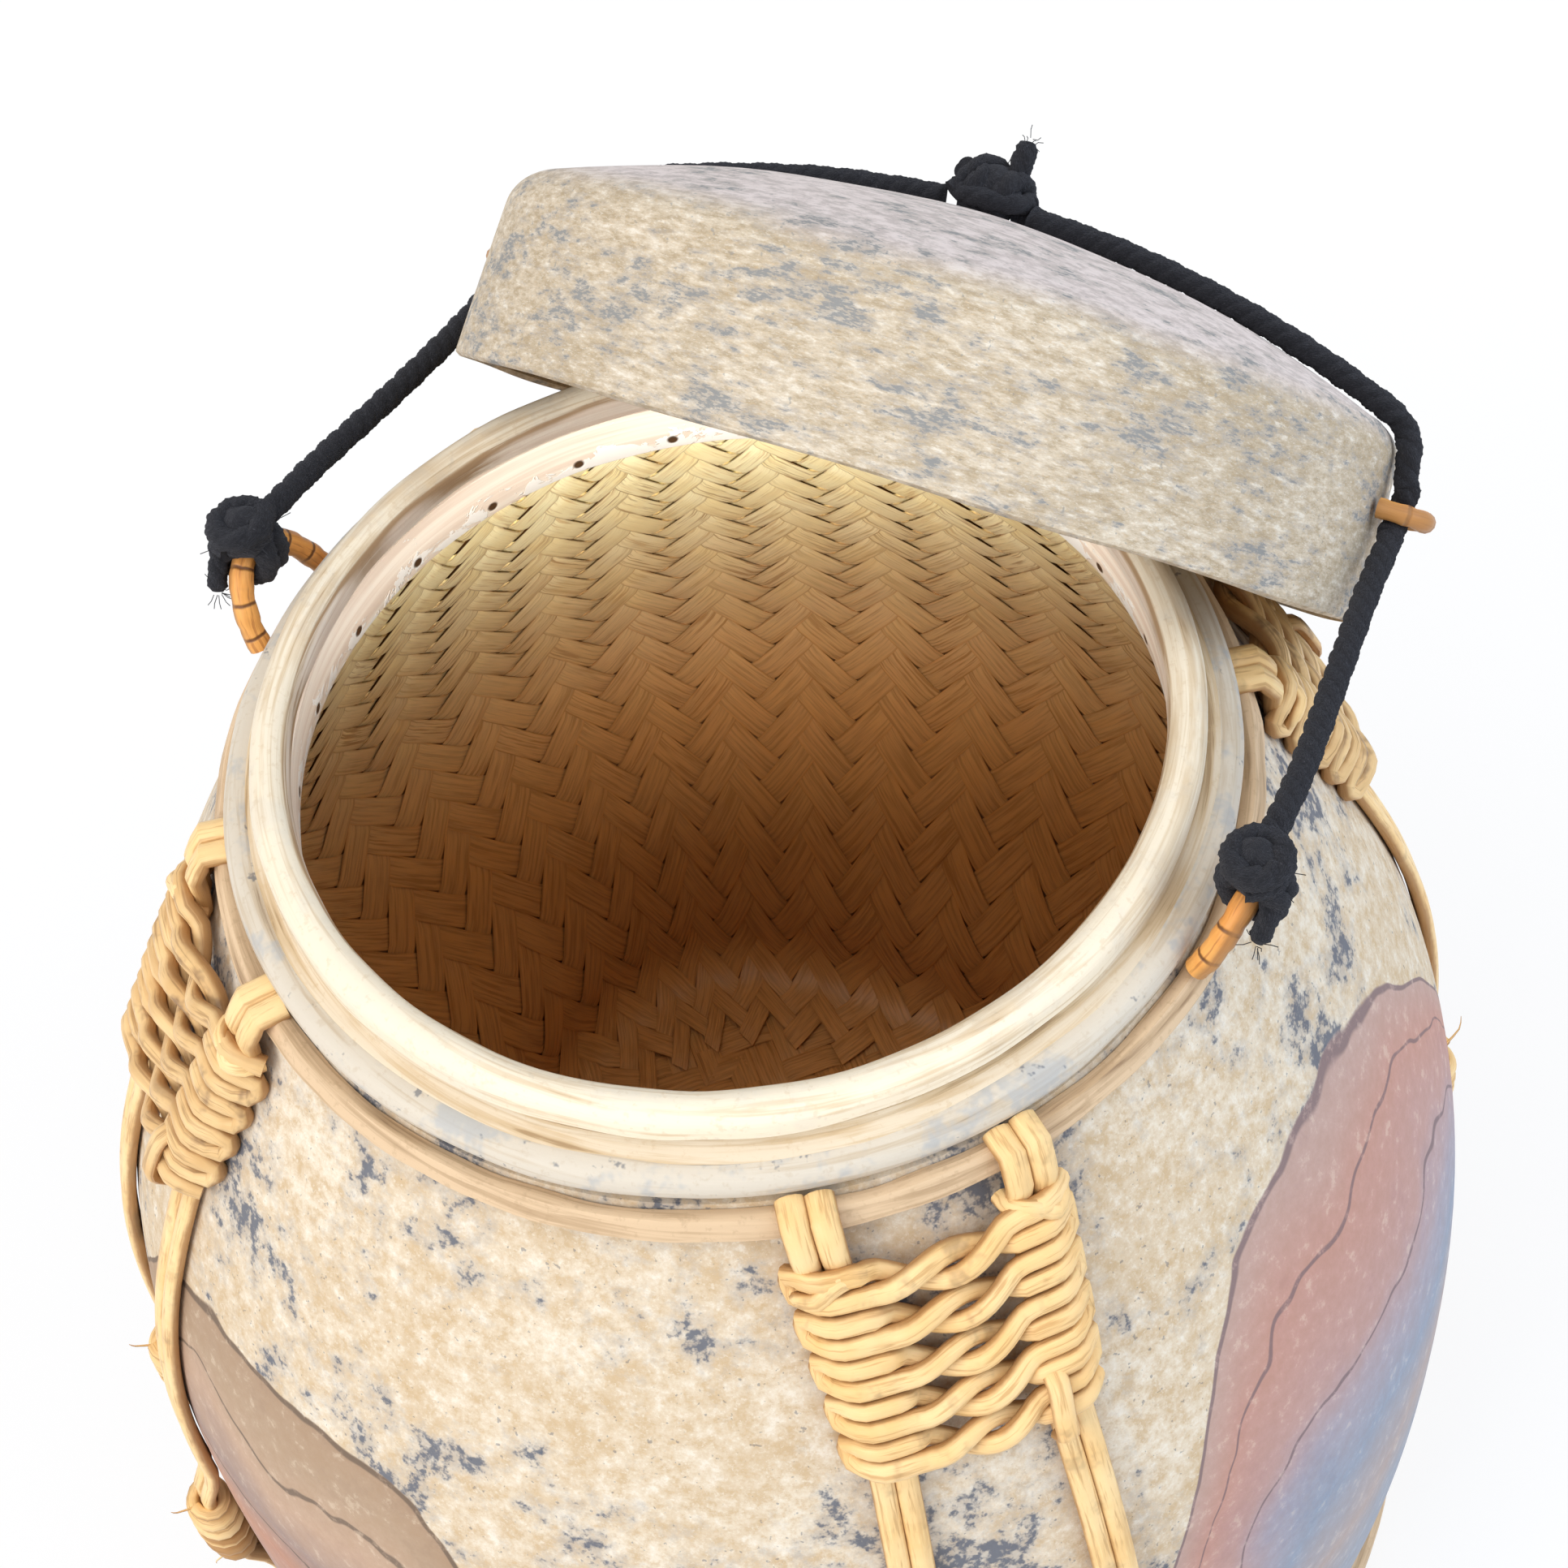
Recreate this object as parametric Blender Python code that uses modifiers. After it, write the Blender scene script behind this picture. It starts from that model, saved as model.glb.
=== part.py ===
"""Lidded bamboo rice container, built as separate pieces for Blender 4.5.

A bulging papered pot holds a plaited basket whose floor is square. A harness of split cane with four woven
shoulder pads is tied round the pot, and the lid hangs on a cord from two cane lugs, tipped open behind the
mouth. Metres, +Z up. The origin is the centre of the base board's underside, +X points to the right-hand lug
and +Y to the side on which the open lid hangs. A drop is a depth below the top of the mouth.
"""
import math

import bmesh
import bpy
from mathutils import Matrix, Vector
from mathutils.geometry import interpolate_bezier

COLLECTION_NAME = "bamboo_rice_container"

# General
GAP = 0.0003                  # air between two pieces that touch
SEGMENTS = 32                 # steps round a turned piece
MERGE_DISTANCE = 0.00002
SMOOTH_ANGLE = math.radians(40.0)

# Pot as a whole
MOUTH_HEIGHT = 0.2400         # floor to the top of the rim

# Outer shell
NECK_RADIUS = 0.0790
NECK_DROP = 0.0153
SHOULDER_SLOPE = math.radians(60.0)   # at the neck, from level
SHOULDER_PULL = 0.0660        # length of the curve handle at the neck
BELLY_RADIUS = 0.1230
BELLY_DROP = 0.1500
BELLY_PULL_UP = 0.0500        # curve handles at the belly
BELLY_PULL_DOWN = 0.0400
FOOT_RADIUS = 0.1130
FOOT_SLOPE = math.radians(72.0)       # at the shell's lower edge, from level
FOOT_PULL = 0.0250
SHELL_WALL = 0.0040
SHOULDER_STEPS = 7
TUCK_STEPS = 4

# Base
FOOT_HOOP_HEIGHT = 0.0100
FOOT_HOOP_INNER = 0.1040
FOOT_HOOP_ROUND = 0.0030
BASE_BOARD_THICKNESS = 0.0080
BATTEN_THICKNESS = 0.0080
BATTEN_WIDTH = 0.0220
BATTEN_LENGTH = 0.1800

# Plaited basket inside the shell
BASKET_WALL = 0.0026
FLOOR_HALF_WIDTH = 0.0850
FLOOR_SQUARENESS = 3.8        # exponent of the rounded square
FLOOR_EDGE_RADIUS = 0.0120
ROUND_UNTIL_HEIGHT = 0.1300   # above this the basket is round
BASKET_LEVELS = 7
EDGE_LEVELS = 3

# Rim: the inner hoop lies in the basket's mouth, and each further hoop fits round the one before
RIM_LEDGE = 0.0002            # top rim beyond the inner hoop
RIM_BROW = 0.0005             # top rim beyond the collar
RIM_HEIGHT = 0.0057
RIM_ROUNDING = 0.0030
INNER_HOOP_TOP = 0.0025       # thickness at its top
INNER_HOOP_EDGE = 0.0015      # thickness at its lower edge
INNER_HOOP_DROP = 0.0175      # its lower edge
COLLAR_THICKNESS = 0.0029
COLLAR_WAIST = 0.0017         # thickness where the flange bead goes round it
COLLAR_LIP = 0.0018           # height of the part that shows above the flange bead
BEAD_RADIUS = 0.0035
BEAD_DROP = 0.0115            # centre of the bead
NECK_RING_WIDTH = 0.0070
NECK_RING_THICKNESS = 0.0030
NECK_RING_DROP = 0.0190       # middle of the band on the shell

# Cane harness
PAD_AZIMUTHS = {"back_right": 45.0, "front_right": 135.0, "front_left": 225.0, "back_left": 315.0}
CANE_RADIUS = 0.0016
CANE_SPACING = 2.0 * CANE_RADIUS + GAP     # between the middles of a strap's two canes
STRAP_SPREAD_TOP = 0.0155     # sideways from a pad's middle to a strap's middle
STRAP_SPREAD_FOOT = 0.0138    # the same at the pad's lower edge, and at one azimuth from there down
WEFT_RADIUS = 0.00165
PAD_ROWS = 10
PAD_TOP_DROP = 0.0250         # middle of the first row
PAD_FOOT_DROP = 0.0555        # middle of the last row
PAD_DIP = 0.0012              # how far the middle of a row hangs down
PAD_SINK = 0.0010             # how far its middle lies below the rows over the straps
PAD_CROSSING = 0.0007         # rise and fall of a strand where rows cross
BINDING_TOP_DROP = 0.1600
BINDING_TURNS = 6
BINDING_PITCH = 0.0038
BINDING_STRAND = 0.0012       # radius
BINDING_RAMP = 0.0090         # length over which the straps lift off the shell for it
RING_RAMP = 0.0035            # length over which they come down from the neck ring
POINTS_PER_TURN = 8

# Cord lugs
LUG_CANE_RADIUS = 0.0020
LUG_HALF_WIDTH = 0.00975      # middle of the lug to the middle of its cane, at the roots
LUG_KNOT_RADIUS = 0.0063
LUG_KNOT_OUT = 0.0045         # of the knot's middle, sideways beyond the lug's roots
LUG_KNOT_RISE = 0.0016        # above the mouth
LUG_CROWN_FALL = 0.0034       # the cane's top below the knot's middle

# Lid
LID_OVERHANG = 0.0003         # of the skirt's inside beyond the middle of the bead that it closes on
LID_TAPER = 0.0011            # how much narrower the wall is where the shoulder starts
LID_WALL = 0.0024
LID_WALL_HEIGHT = 0.0261      # skirt edge to the start of the shoulder
LID_SHOULDER_RADIUS = 0.0072
LID_SEAM_SLOPE = math.radians(21.5)   # of the crown where it meets the shoulder
LID_TILT = math.radians(52.5)
LID_DROP = 0.0212             # middle of the open skirt, below the mouth
LID_HOOP_LOW = 0.0150         # lower edge of the hoop inside, above the skirt edge
LID_HOOP_THICKNESS = 0.0018
LID_LINING_THICKNESS = 0.0014
SHOULDER_ARC_STEPS = 4
CROWN_STEPS = 6

# Cord
CORD_RADIUS = 0.0022
LOOP_HEIGHT = 0.0189          # of the lid's side loops above the skirt edge
LOOP_CANE_RADIUS = 0.0015
LOOP_SIDE_CLEARANCE = 0.0015  # between the cord and the loop's cane, to each side
LOOP_END_CLEARANCE = 0.0002   # between the cord and the loop's bend
LOOP_WALL_CLEARANCE = 0.0009  # between the cord and the lid's wall, inside the loop
LOOP_HALF_WIDTH = CORD_RADIUS + LOOP_SIDE_CLEARANCE + LOOP_CANE_RADIUS
CORD_OFFSET = CORD_RADIUS + LOOP_WALL_CLEARANCE            # middle of the cord off the lid at the loops
LOOP_REACH = CORD_OFFSET + CORD_RADIUS + LOOP_END_CLEARANCE + LOOP_CANE_RADIUS
RUN_CLEARANCE = 0.0015         # between the ends of the leg and of the stretch in the loop
LEG_END_CLEARANCE = 0.0018    # between the leg's end and the loop's cane
LEG_END = CORD_RADIUS + LEG_END_CLEARANCE + LOOP_CANE_RADIUS        # from the loop's middle
RUN_HALF_LENGTH = LEG_END - RUN_CLEARANCE
CENTRE_KNOT_SIZE = (0.0086, 0.0062, 0.0048)   # half sizes: along the cord, across it, and up
CENTRE_STUB_RADIUS = 0.0022
CENTRE_STUB_LENGTH = 0.0050

# Colour and roughness of each finish
FINISHES = {
    "papered_shell": ((0.70, 0.58, 0.42), 0.75),
    "lid_paint": ((0.66, 0.56, 0.43), 0.70),
    "rim_paint": ((0.78, 0.68, 0.52), 0.60),
    "hoop_wood": ((0.72, 0.58, 0.47), 0.55),
    "plaited_bamboo": ((0.62, 0.43, 0.19), 0.50),
    "brown_cane": ((0.36, 0.23, 0.14), 0.60),
    "pale_cane": ((0.74, 0.50, 0.22), 0.45),
    "orange_cane": ((0.70, 0.36, 0.14), 0.45),
    "black_cord": ((0.02, 0.02, 0.025), 0.90),
    "base_wood": ((0.42, 0.30, 0.19), 0.70),
}


def height(drop):
    """Height above the floor of a point that lies this far below the mouth."""
    return MOUTH_HEIGHT - drop


def polar(radius, azimuth, z):
    """Point at a radius and an azimuth, measured from +Y towards +X."""
    return Vector((radius * math.sin(azimuth), radius * math.cos(azimuth), z))


def bezier(start, start_handle, end_handle, end, steps):
    """Points (radius, z) along one curve span, both ends included."""
    spans = [Vector((r, 0.0, z)) for r, z in (start, start_handle, end_handle, end)]
    return [(point.x, point.z) for point in interpolate_bezier(*spans, steps + 1)]


def shell_outline():
    """Outer outline of the shell, from the neck down to the foot."""
    neck = (NECK_RADIUS, height(NECK_DROP))
    belly = (BELLY_RADIUS, height(BELLY_DROP))
    foot = (FOOT_RADIUS, FOOT_HOOP_HEIGHT + GAP)
    neck_handle = (neck[0] + SHOULDER_PULL * math.cos(SHOULDER_SLOPE),
                   neck[1] - SHOULDER_PULL * math.sin(SHOULDER_SLOPE))
    foot_handle = (foot[0] + FOOT_PULL * math.cos(FOOT_SLOPE), foot[1] + FOOT_PULL * math.sin(FOOT_SLOPE))
    shoulder = bezier(neck, neck_handle, (belly[0], belly[1] + BELLY_PULL_UP), belly, SHOULDER_STEPS)
    tuck = bezier(belly, (belly[0], belly[1] - BELLY_PULL_DOWN), foot_handle, foot, TUCK_STEPS)
    return shoulder + tuck[1:]


def outline_normals(outline):
    """Outward unit normal (radial, up) at each point of an outline that runs downwards."""
    normals = []
    for index in range(len(outline)):
        before = Vector(outline[max(index - 1, 0)])
        after = Vector(outline[min(index + 1, len(outline) - 1)])
        along = (after - before).normalized()
        normals.append(Vector((-along.y, along.x)))
    return normals


def offset_outline(outline, distance):
    """The outline moved inwards by a distance, with its first and last points kept at their heights."""
    normals = outline_normals(outline)
    inner = [(radius - distance * normal.x, z - distance * normal.y)
             for (radius, z), normal in zip(outline, normals)]
    for end in (0, -1):
        radius, z = outline[end]
        inner[end] = (radius - distance / normals[end].x, z)
    return inner


def at_height(outline, values, z):
    """Value at height z, read linearly between the points of an outline that runs downwards."""
    for index in range(len(outline) - 1):
        upper = outline[index][1]
        lower = outline[index + 1][1]
        if z >= lower or index == len(outline) - 2:
            share = min(max((upper - z) / (upper - lower), 0.0), 1.0)
            return values[index] * (1.0 - share) + values[index + 1] * share
    return values[-1]


class Shell:
    """The pot's outer surface, which every harness piece is laid on."""

    def __init__(self):
        self.outline = shell_outline()
        self.inner = offset_outline(self.outline, SHELL_WALL)
        self.normals = outline_normals(self.outline)

    def radius(self, z):
        return at_height(self.outline, [radius for radius, _ in self.outline], z)

    def inner_radius(self, z):
        return at_height(self.inner, [radius for radius, _ in self.inner], z)

    def normal(self, z):
        return at_height(self.outline, self.normals, z).normalized()

    def point(self, azimuth, sideways, z, off):
        """Point off the surface by a distance, and sideways of the azimuth by another."""
        normal = self.normal(z)
        radius = self.radius(z) + off * normal.x
        turn = math.asin(sideways / radius)
        return polar(radius, azimuth + turn, z + off * normal.y)


SHELL = Shell()


def basket_top_radii():
    """Outer and inner radius of the basket's upper edge, inside the shell's neck."""
    slant = 1.0 / SHELL.normals[0].x
    outer = SHELL.inner[0][0] - GAP * slant
    return outer, outer - BASKET_WALL * slant


HOOP_OUTER = basket_top_radii()[1] - GAP
COLLAR_INNER = HOOP_OUTER + GAP
COLLAR_OUTER = COLLAR_INNER + COLLAR_THICKNESS
RIM_INNER = HOOP_OUTER - INNER_HOOP_TOP - RIM_LEDGE
RIM_OUTER = COLLAR_OUTER + RIM_BROW
BEAD_RING_RADIUS = COLLAR_INNER + COLLAR_WAIST + GAP + BEAD_RADIUS
LID_RADIUS = BEAD_RING_RADIUS + LID_OVERHANG + LID_WALL


def neck_ring_loop():
    """Section of the flat band that lies on the shell below the bead."""
    z = height(NECK_RING_DROP)
    normal = SHELL.normal(z)
    along = Vector((normal.y, -normal.x))
    centre = Vector((SHELL.radius(z), z)) + normal * (NECK_RING_THICKNESS / 2.0 + GAP)
    corners = ((-0.5, -0.5), (-0.5, 0.15), (-0.3, 0.5), (0.3, 0.5), (0.5, 0.15), (0.5, -0.5))
    return [tuple(centre + along * NECK_RING_WIDTH * across + normal * NECK_RING_THICKNESS * off)
            for across, off in corners]


NECK_RING_TOP = max(z for _, z in neck_ring_loop())
HARNESS_RADIUS = BEAD_RING_RADIUS + BEAD_RADIUS + GAP      # what is tied below the bead passes outside this
LUG_ROOT_RADIUS = HARNESS_RADIUS + LUG_CANE_RADIUS
LUG_KNOT_REACH = LUG_ROOT_RADIUS + LUG_KNOT_OUT
LUG_HALF_ANGLE = math.asin(LUG_HALF_WIDTH / LUG_ROOT_RADIUS)


def lid_outline():
    """Outer outline of the closed lid from its top centre down, radius and height above the skirt edge."""
    shoulder_radius = LID_RADIUS - LID_TAPER - LID_SHOULDER_RADIUS
    seam_angle = math.pi / 2.0 - LID_SEAM_SLOPE
    arc = []
    for step in range(SHOULDER_ARC_STEPS + 1):
        angle = seam_angle * (1.0 - step / SHOULDER_ARC_STEPS)
        arc.append((shoulder_radius + LID_SHOULDER_RADIUS * math.cos(angle),
                    LID_WALL_HEIGHT + LID_SHOULDER_RADIUS * math.sin(angle)))
    seam_radius, seam_height = arc[0]
    rise = seam_radius * math.tan(LID_SEAM_SLOPE) / 2.0
    crown = []
    for step in range(CROWN_STEPS):
        share = step / CROWN_STEPS
        crown.append((seam_radius * share, seam_height + rise * (1.0 - share ** 2)))
    skirt = [(LID_RADIUS - LID_TAPER / 2.0, LID_WALL_HEIGHT / 2.0), (LID_RADIUS, 0.0)]
    return crown + [arc[0]], arc + skirt


LID_CROWN, LID_SIDE = lid_outline()


def lid_wall_radius(up):
    """Outer radius of the lid's wall at a height above its skirt edge."""
    return LID_RADIUS - LID_TAPER * up / LID_WALL_HEIGHT


def lid_rest_reach():
    """How far back the open skirt's middle hangs, with its rear edge lying on the shell."""
    reach = 0.0
    for corner in (LID_RADIUS, LID_RADIUS - LID_WALL):
        z = height(LID_DROP) - corner * math.sin(LID_TILT)
        clear = SHELL.radius(z) + GAP / SHELL.normal(z).x
        reach = max(reach, clear - corner * math.cos(LID_TILT))
    return reach


LUG_AXIS = Vector((0.0, 0.0, MOUTH_HEIGHT + LUG_KNOT_RISE))
LOOP_AXIS = Vector((0.0, lid_rest_reach() + LOOP_HEIGHT * math.sin(LID_TILT),
                    height(LID_DROP) + LOOP_HEIGHT * math.cos(LID_TILT)))
CORD_REACH = lid_wall_radius(LOOP_HEIGHT) + CORD_OFFSET


def clear_scene():
    """Remove what a new scene holds."""
    for item in list(bpy.data.objects):
        bpy.data.objects.remove(item, do_unlink=True)


def make_collection(name, parent=None):
    """New collection, linked under the scene or a parent."""
    collection = bpy.data.collections.new(name)
    (parent or bpy.context.scene.collection).children.link(collection)
    return collection


def make_material(finish, name):
    """Principled material of one finish."""
    colour, roughness = FINISHES[finish]
    material = bpy.data.materials.new(name)
    material.use_nodes = True
    shader = material.node_tree.nodes["Principled BSDF"]
    shader.inputs["Base Color"].default_value = (*colour, 1.0)
    shader.inputs["Roughness"].default_value = roughness
    shader.inputs["Metallic"].default_value = 0.0
    material.diffuse_color = (*colour, 1.0)
    return material


def add_part(name, data, finish, parent=None):
    """Object for one sub-part, with its own material, in the product's collection."""
    part = bpy.data.objects.new(name, data)
    data.materials.append(make_material(finish, name + "_finish"))
    bpy.data.collections[COLLECTION_NAME].objects.link(part)
    if parent is not None:
        part.parent = parent
    if isinstance(data, bpy.types.Mesh):
        data.shade_smooth()
        data.set_sharp_from_angle(angle=SMOOTH_ANGLE)
    return part


def add_pivot(name, location, parent=None, tilt=0.0):
    """Empty on a joint's axis; its location is given in the world."""
    pivot = bpy.data.objects.new(name, None)
    bpy.data.collections[COLLECTION_NAME].objects.link(pivot)
    pivot.matrix_world = Matrix.Translation(location) @ Matrix.Rotation(tilt, 4, "X")
    if parent is not None:
        pivot.parent = parent
        pivot.matrix_parent_inverse = parent.matrix_world.inverted()
    return pivot


def turned(name, loop, finish, parent=None):
    """Turned piece from a closed profile of (radius, z) points."""
    area = sum(a[0] * b[1] - b[0] * a[1] for a, b in zip(loop, loop[1:] + loop[:1]))
    points = loop if area < 0.0 else loop[::-1]
    mesh = bpy.data.meshes.new(name)
    closed = all(radius > MERGE_DISTANCE for radius, _ in points)
    if not closed:
        start = next(i for i, point in enumerate(points) if point[0] <= MERGE_DISTANCE
                     and points[i - 1][0] <= MERGE_DISTANCE)
        points = points[start:] + points[:start]
    edges = [(i, (i + 1) % len(points)) for i in range(len(points) if closed else len(points) - 1)]
    mesh.from_pydata([(radius, 0.0, z) for radius, z in points], edges, [])
    part = add_part(name, mesh, finish, parent)
    screw = part.modifiers.new("Turning", "SCREW")
    screw.axis = "Z"
    screw.angle = 2.0 * math.pi
    screw.steps = SEGMENTS
    screw.render_steps = SEGMENTS
    screw.use_merge_vertices = True
    screw.merge_threshold = MERGE_DISTANCE
    screw.use_smooth_shade = True
    return part


def tube(name, points, radius, finish, resolution=1, parent=None):
    """Cane or cord: one unbroken tube along a polyline, with filled ends."""
    curve = bpy.data.curves.new(name, "CURVE")
    curve.dimensions = "3D"
    curve.bevel_depth = radius
    curve.bevel_resolution = resolution
    curve.use_fill_caps = True
    spline = curve.splines.new("POLY")
    spline.points.add(len(points) - 1)
    for target, point in zip(spline.points, points):
        target.co = (*point, 1.0)
    return add_part(name, curve, finish, parent)


def lofted(name, rings, finish):
    """Closed body through rings of points, capped at its first and last ring."""
    bm = bmesh.new()
    rows = [[bm.verts.new(point) for point in ring] for ring in rings]
    count = len(rows[0])
    for upper, lower in zip(rows, rows[1:]):
        for i in range(count):
            j = (i + 1) % count
            bm.faces.new((upper[i], upper[j], lower[j], lower[i]))
    bm.faces.new(rows[0])
    bm.faces.new(rows[-1])
    bmesh.ops.recalc_face_normals(bm, faces=bm.faces)
    mesh = bpy.data.meshes.new(name)
    bm.to_mesh(mesh)
    bm.free()
    return add_part(name, mesh, finish)


def mesh_of(part):
    """Turn a curve part into a mesh part of the same name, with its caps welded."""
    bpy.context.view_layer.update()
    evaluated = part.evaluated_get(bpy.context.evaluated_depsgraph_get())
    mesh = bpy.data.meshes.new_from_object(evaluated)
    bm = bmesh.new()
    bm.from_mesh(mesh)
    bmesh.ops.remove_doubles(bm, verts=bm.verts, dist=MERGE_DISTANCE)
    bm.to_mesh(mesh)
    bm.free()
    world = part.matrix_world.copy()
    name = part.name
    collection = part.users_collection[0]
    bpy.data.objects.remove(part, do_unlink=True)
    solid = bpy.data.objects.new(name, mesh)
    collection.objects.link(solid)
    solid.matrix_world = world
    return solid


def boolean(part, other, operation):
    """Exact Boolean of a part with another object."""
    modifier = part.modifiers.new(operation.title(), "BOOLEAN")
    modifier.operation = operation
    modifier.object = other


def as_cutter(part):
    """Move an object to the cutters, out of the render."""
    for collection in list(part.users_collection):
        collection.objects.unlink(part)
    bpy.data.collections["cutters"].objects.link(part)
    part.hide_render = True
    part.display_type = "WIRE"


def build_shell():
    """Papered outer shell, open above and below."""
    turned("outer_shell", SHELL.outline + SHELL.inner[::-1], "papered_shell")


def rounded_square(azimuth):
    """Radius of the basket's floor, whose corners point to the pads."""
    x = abs(math.sin(azimuth))
    y = abs(math.cos(azimuth))
    return FLOOR_HALF_WIDTH / (x ** FLOOR_SQUARENESS + y ** FLOOR_SQUARENESS) ** (1.0 / FLOOR_SQUARENESS)


def basket_floor_height():
    """Underside of the plaited floor."""
    return BASE_BOARD_THICKNESS + BATTEN_THICKNESS + 2.0 * GAP


def basket_ring(z, inset):
    """One level of the basket's wall, going from round to the rounded square of its floor."""
    floor = basket_floor_height()
    wall_z = max(z, floor + FLOOR_EDGE_RADIUS)
    bend_height = ROUND_UNTIL_HEIGHT - floor - FLOOR_EDGE_RADIUS
    share = min(max((ROUND_UNTIL_HEIGHT - wall_z) / bend_height, 0.0), 1.0)
    share = share * share * (3.0 - 2.0 * share)
    edge_share = min(max((floor + FLOOR_EDGE_RADIUS - z) / FLOOR_EDGE_RADIUS, 0.0), 1.0)
    edge_inset = FLOOR_EDGE_RADIUS * (1.0 - math.sqrt(1.0 - edge_share ** 2))
    ring = []
    for step in range(SEGMENTS):
        azimuth = 2.0 * math.pi * step / SEGMENTS
        round_radius = SHELL.inner_radius(wall_z) - GAP / SHELL.normal(wall_z).x
        radius = round_radius * (1.0 - share) + rounded_square(azimuth) * share
        ring.append(polar(radius - edge_inset - inset, azimuth, z))
    return ring


def build_basket():
    """Plaited basket: round at the neck, square at its floor, with a rounded edge between."""
    floor = basket_floor_height()
    top = height(NECK_DROP)
    edge = [floor + FLOOR_EDGE_RADIUS * (1.0 - math.cos(math.pi / 2.0 * step / EDGE_LEVELS))
            for step in range(EDGE_LEVELS)]
    wall = [floor + FLOOR_EDGE_RADIUS + (top - floor - FLOOR_EDGE_RADIUS) * step / BASKET_LEVELS
            for step in range(BASKET_LEVELS + 1)]
    outside = [basket_ring(z, 0.0) for z in reversed(edge + wall)]
    slant = 1.0 / SHELL.normals[0].x
    inside = []
    for z in edge + wall:
        lift = BASKET_WALL * max(1.0 - (z - floor) / FLOOR_EDGE_RADIUS, 0.0)
        wall_share = min((z - floor) / (top - floor), 1.0)
        inset = BASKET_WALL * (1.0 + (slant - 1.0) * wall_share ** 4)
        ring = basket_ring(z, inset)
        inside.append([point + Vector((0.0, 0.0, lift)) for point in ring])
    lofted("inner_basket", inside + outside, "plaited_bamboo")


def build_base():
    """Foot hoop, base board and the crossed battens that carry the basket."""
    top_outer = SHELL.radius(FOOT_HOOP_HEIGHT) + 2.0 * CANE_RADIUS + 2.0 * GAP
    arc = []
    for step in range(4):
        angle = math.pi / 2.0 * (1.0 - step / 3.0)
        arc.append((top_outer - FOOT_HOOP_ROUND * (1.0 - math.cos(angle)) + FOOT_HOOP_ROUND,
                    FOOT_HOOP_HEIGHT - FOOT_HOOP_ROUND * (1.0 - math.sin(angle))))
    turned("foot_hoop", arc + [(top_outer + FOOT_HOOP_ROUND, 0.0), (FOOT_HOOP_INNER, 0.0),
                               (FOOT_HOOP_INNER, FOOT_HOOP_HEIGHT)], "brown_cane")
    board_radius = FOOT_HOOP_INNER - GAP
    turned("base_board", [(0.0, BASE_BOARD_THICKNESS), (board_radius, BASE_BOARD_THICKNESS),
                          (board_radius, 0.0), (0.0, 0.0)], "base_wood")
    size = (BATTEN_LENGTH, BATTEN_WIDTH, BATTEN_THICKNESS)
    middle = BASE_BOARD_THICKNESS + GAP + BATTEN_THICKNESS / 2.0
    battens = box("floor_battens", size, middle)
    crossing = box("batten_crossing", (size[1], size[0], size[2]), middle)
    as_cutter(crossing)
    boolean(battens, crossing, "UNION")


def box(name, size, z):
    """Rectangular bar centred on the axis at a height."""
    bm = bmesh.new()
    bmesh.ops.create_cube(bm, size=1.0)
    bmesh.ops.scale(bm, vec=size, verts=bm.verts)
    mesh = bpy.data.meshes.new(name)
    bm.to_mesh(mesh)
    bm.free()
    part = add_part(name, mesh, "base_wood")
    part.location.z = z
    return part


def build_rim():
    """Top rim, inner hoop, collar and flange bead round the mouth."""
    middle = (RIM_OUTER + RIM_INNER) / 2.0
    half = (RIM_OUTER - RIM_INNER) / 2.0
    crest = []
    for step in range(7):
        angle = math.pi * step / 6.0
        crest.append((middle - half * math.cos(angle), height(RIM_ROUNDING) + RIM_ROUNDING * math.sin(angle)))
    turned("top_rim", crest + [(RIM_OUTER, height(RIM_HEIGHT)), (RIM_INNER, height(RIM_HEIGHT))], "rim_paint")

    seat = height(RIM_HEIGHT + GAP)
    turned("inner_rim_hoop", [(HOOP_OUTER, seat), (HOOP_OUTER, height(INNER_HOOP_DROP)),
                              (HOOP_OUTER - INNER_HOOP_EDGE, height(INNER_HOOP_DROP)),
                              (HOOP_OUTER - INNER_HOOP_TOP, seat)], "hoop_wood")

    lip = seat - COLLAR_LIP
    waist = COLLAR_INNER + COLLAR_WAIST
    foot = height(NECK_DROP - GAP)
    turned("collar_hoop", [(COLLAR_OUTER, seat), (COLLAR_OUTER, lip), (waist, lip - GAP), (waist, foot),
                           (COLLAR_INNER, foot), (COLLAR_INNER, seat)], "rim_paint")

    bead = []
    for step in range(8):
        angle = -2.0 * math.pi * step / 8
        bead.append((BEAD_RING_RADIUS + BEAD_RADIUS * math.cos(angle),
                     height(BEAD_DROP) + BEAD_RADIUS * math.sin(angle)))
    turned("flange_bead", bead, "rim_paint")


def build_neck_ring():
    """Flat cane band that lies round the top of the shoulder and carries the harness."""
    turned("neck_ring", neck_ring_loop(), "brown_cane")


def strap_off(drop):
    """Height of a strap's middle above the shell: over the neck ring, on the surface, or round a binding."""
    on_shell = CANE_RADIUS + GAP
    over_ring = NECK_RING_THICKNESS + 2.0 * GAP + CANE_RADIUS
    lifted = CANE_RADIUS + 3.0 * BINDING_STRAND + 2.0 * GAP
    past_ring = drop - NECK_RING_DROP - NECK_RING_WIDTH / 2.0
    ring_share = min(max(1.0 - past_ring / RING_RAMP, 0.0), 1.0)
    end = BINDING_TOP_DROP + BINDING_TURNS * BINDING_PITCH
    away = max(BINDING_TOP_DROP - drop, drop - end, 0.0)
    binding_share = max(1.0 - away / BINDING_RAMP, 0.0)
    return on_shell + (over_ring - on_shell) * ring_share + (lifted - on_shell) * binding_share


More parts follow.
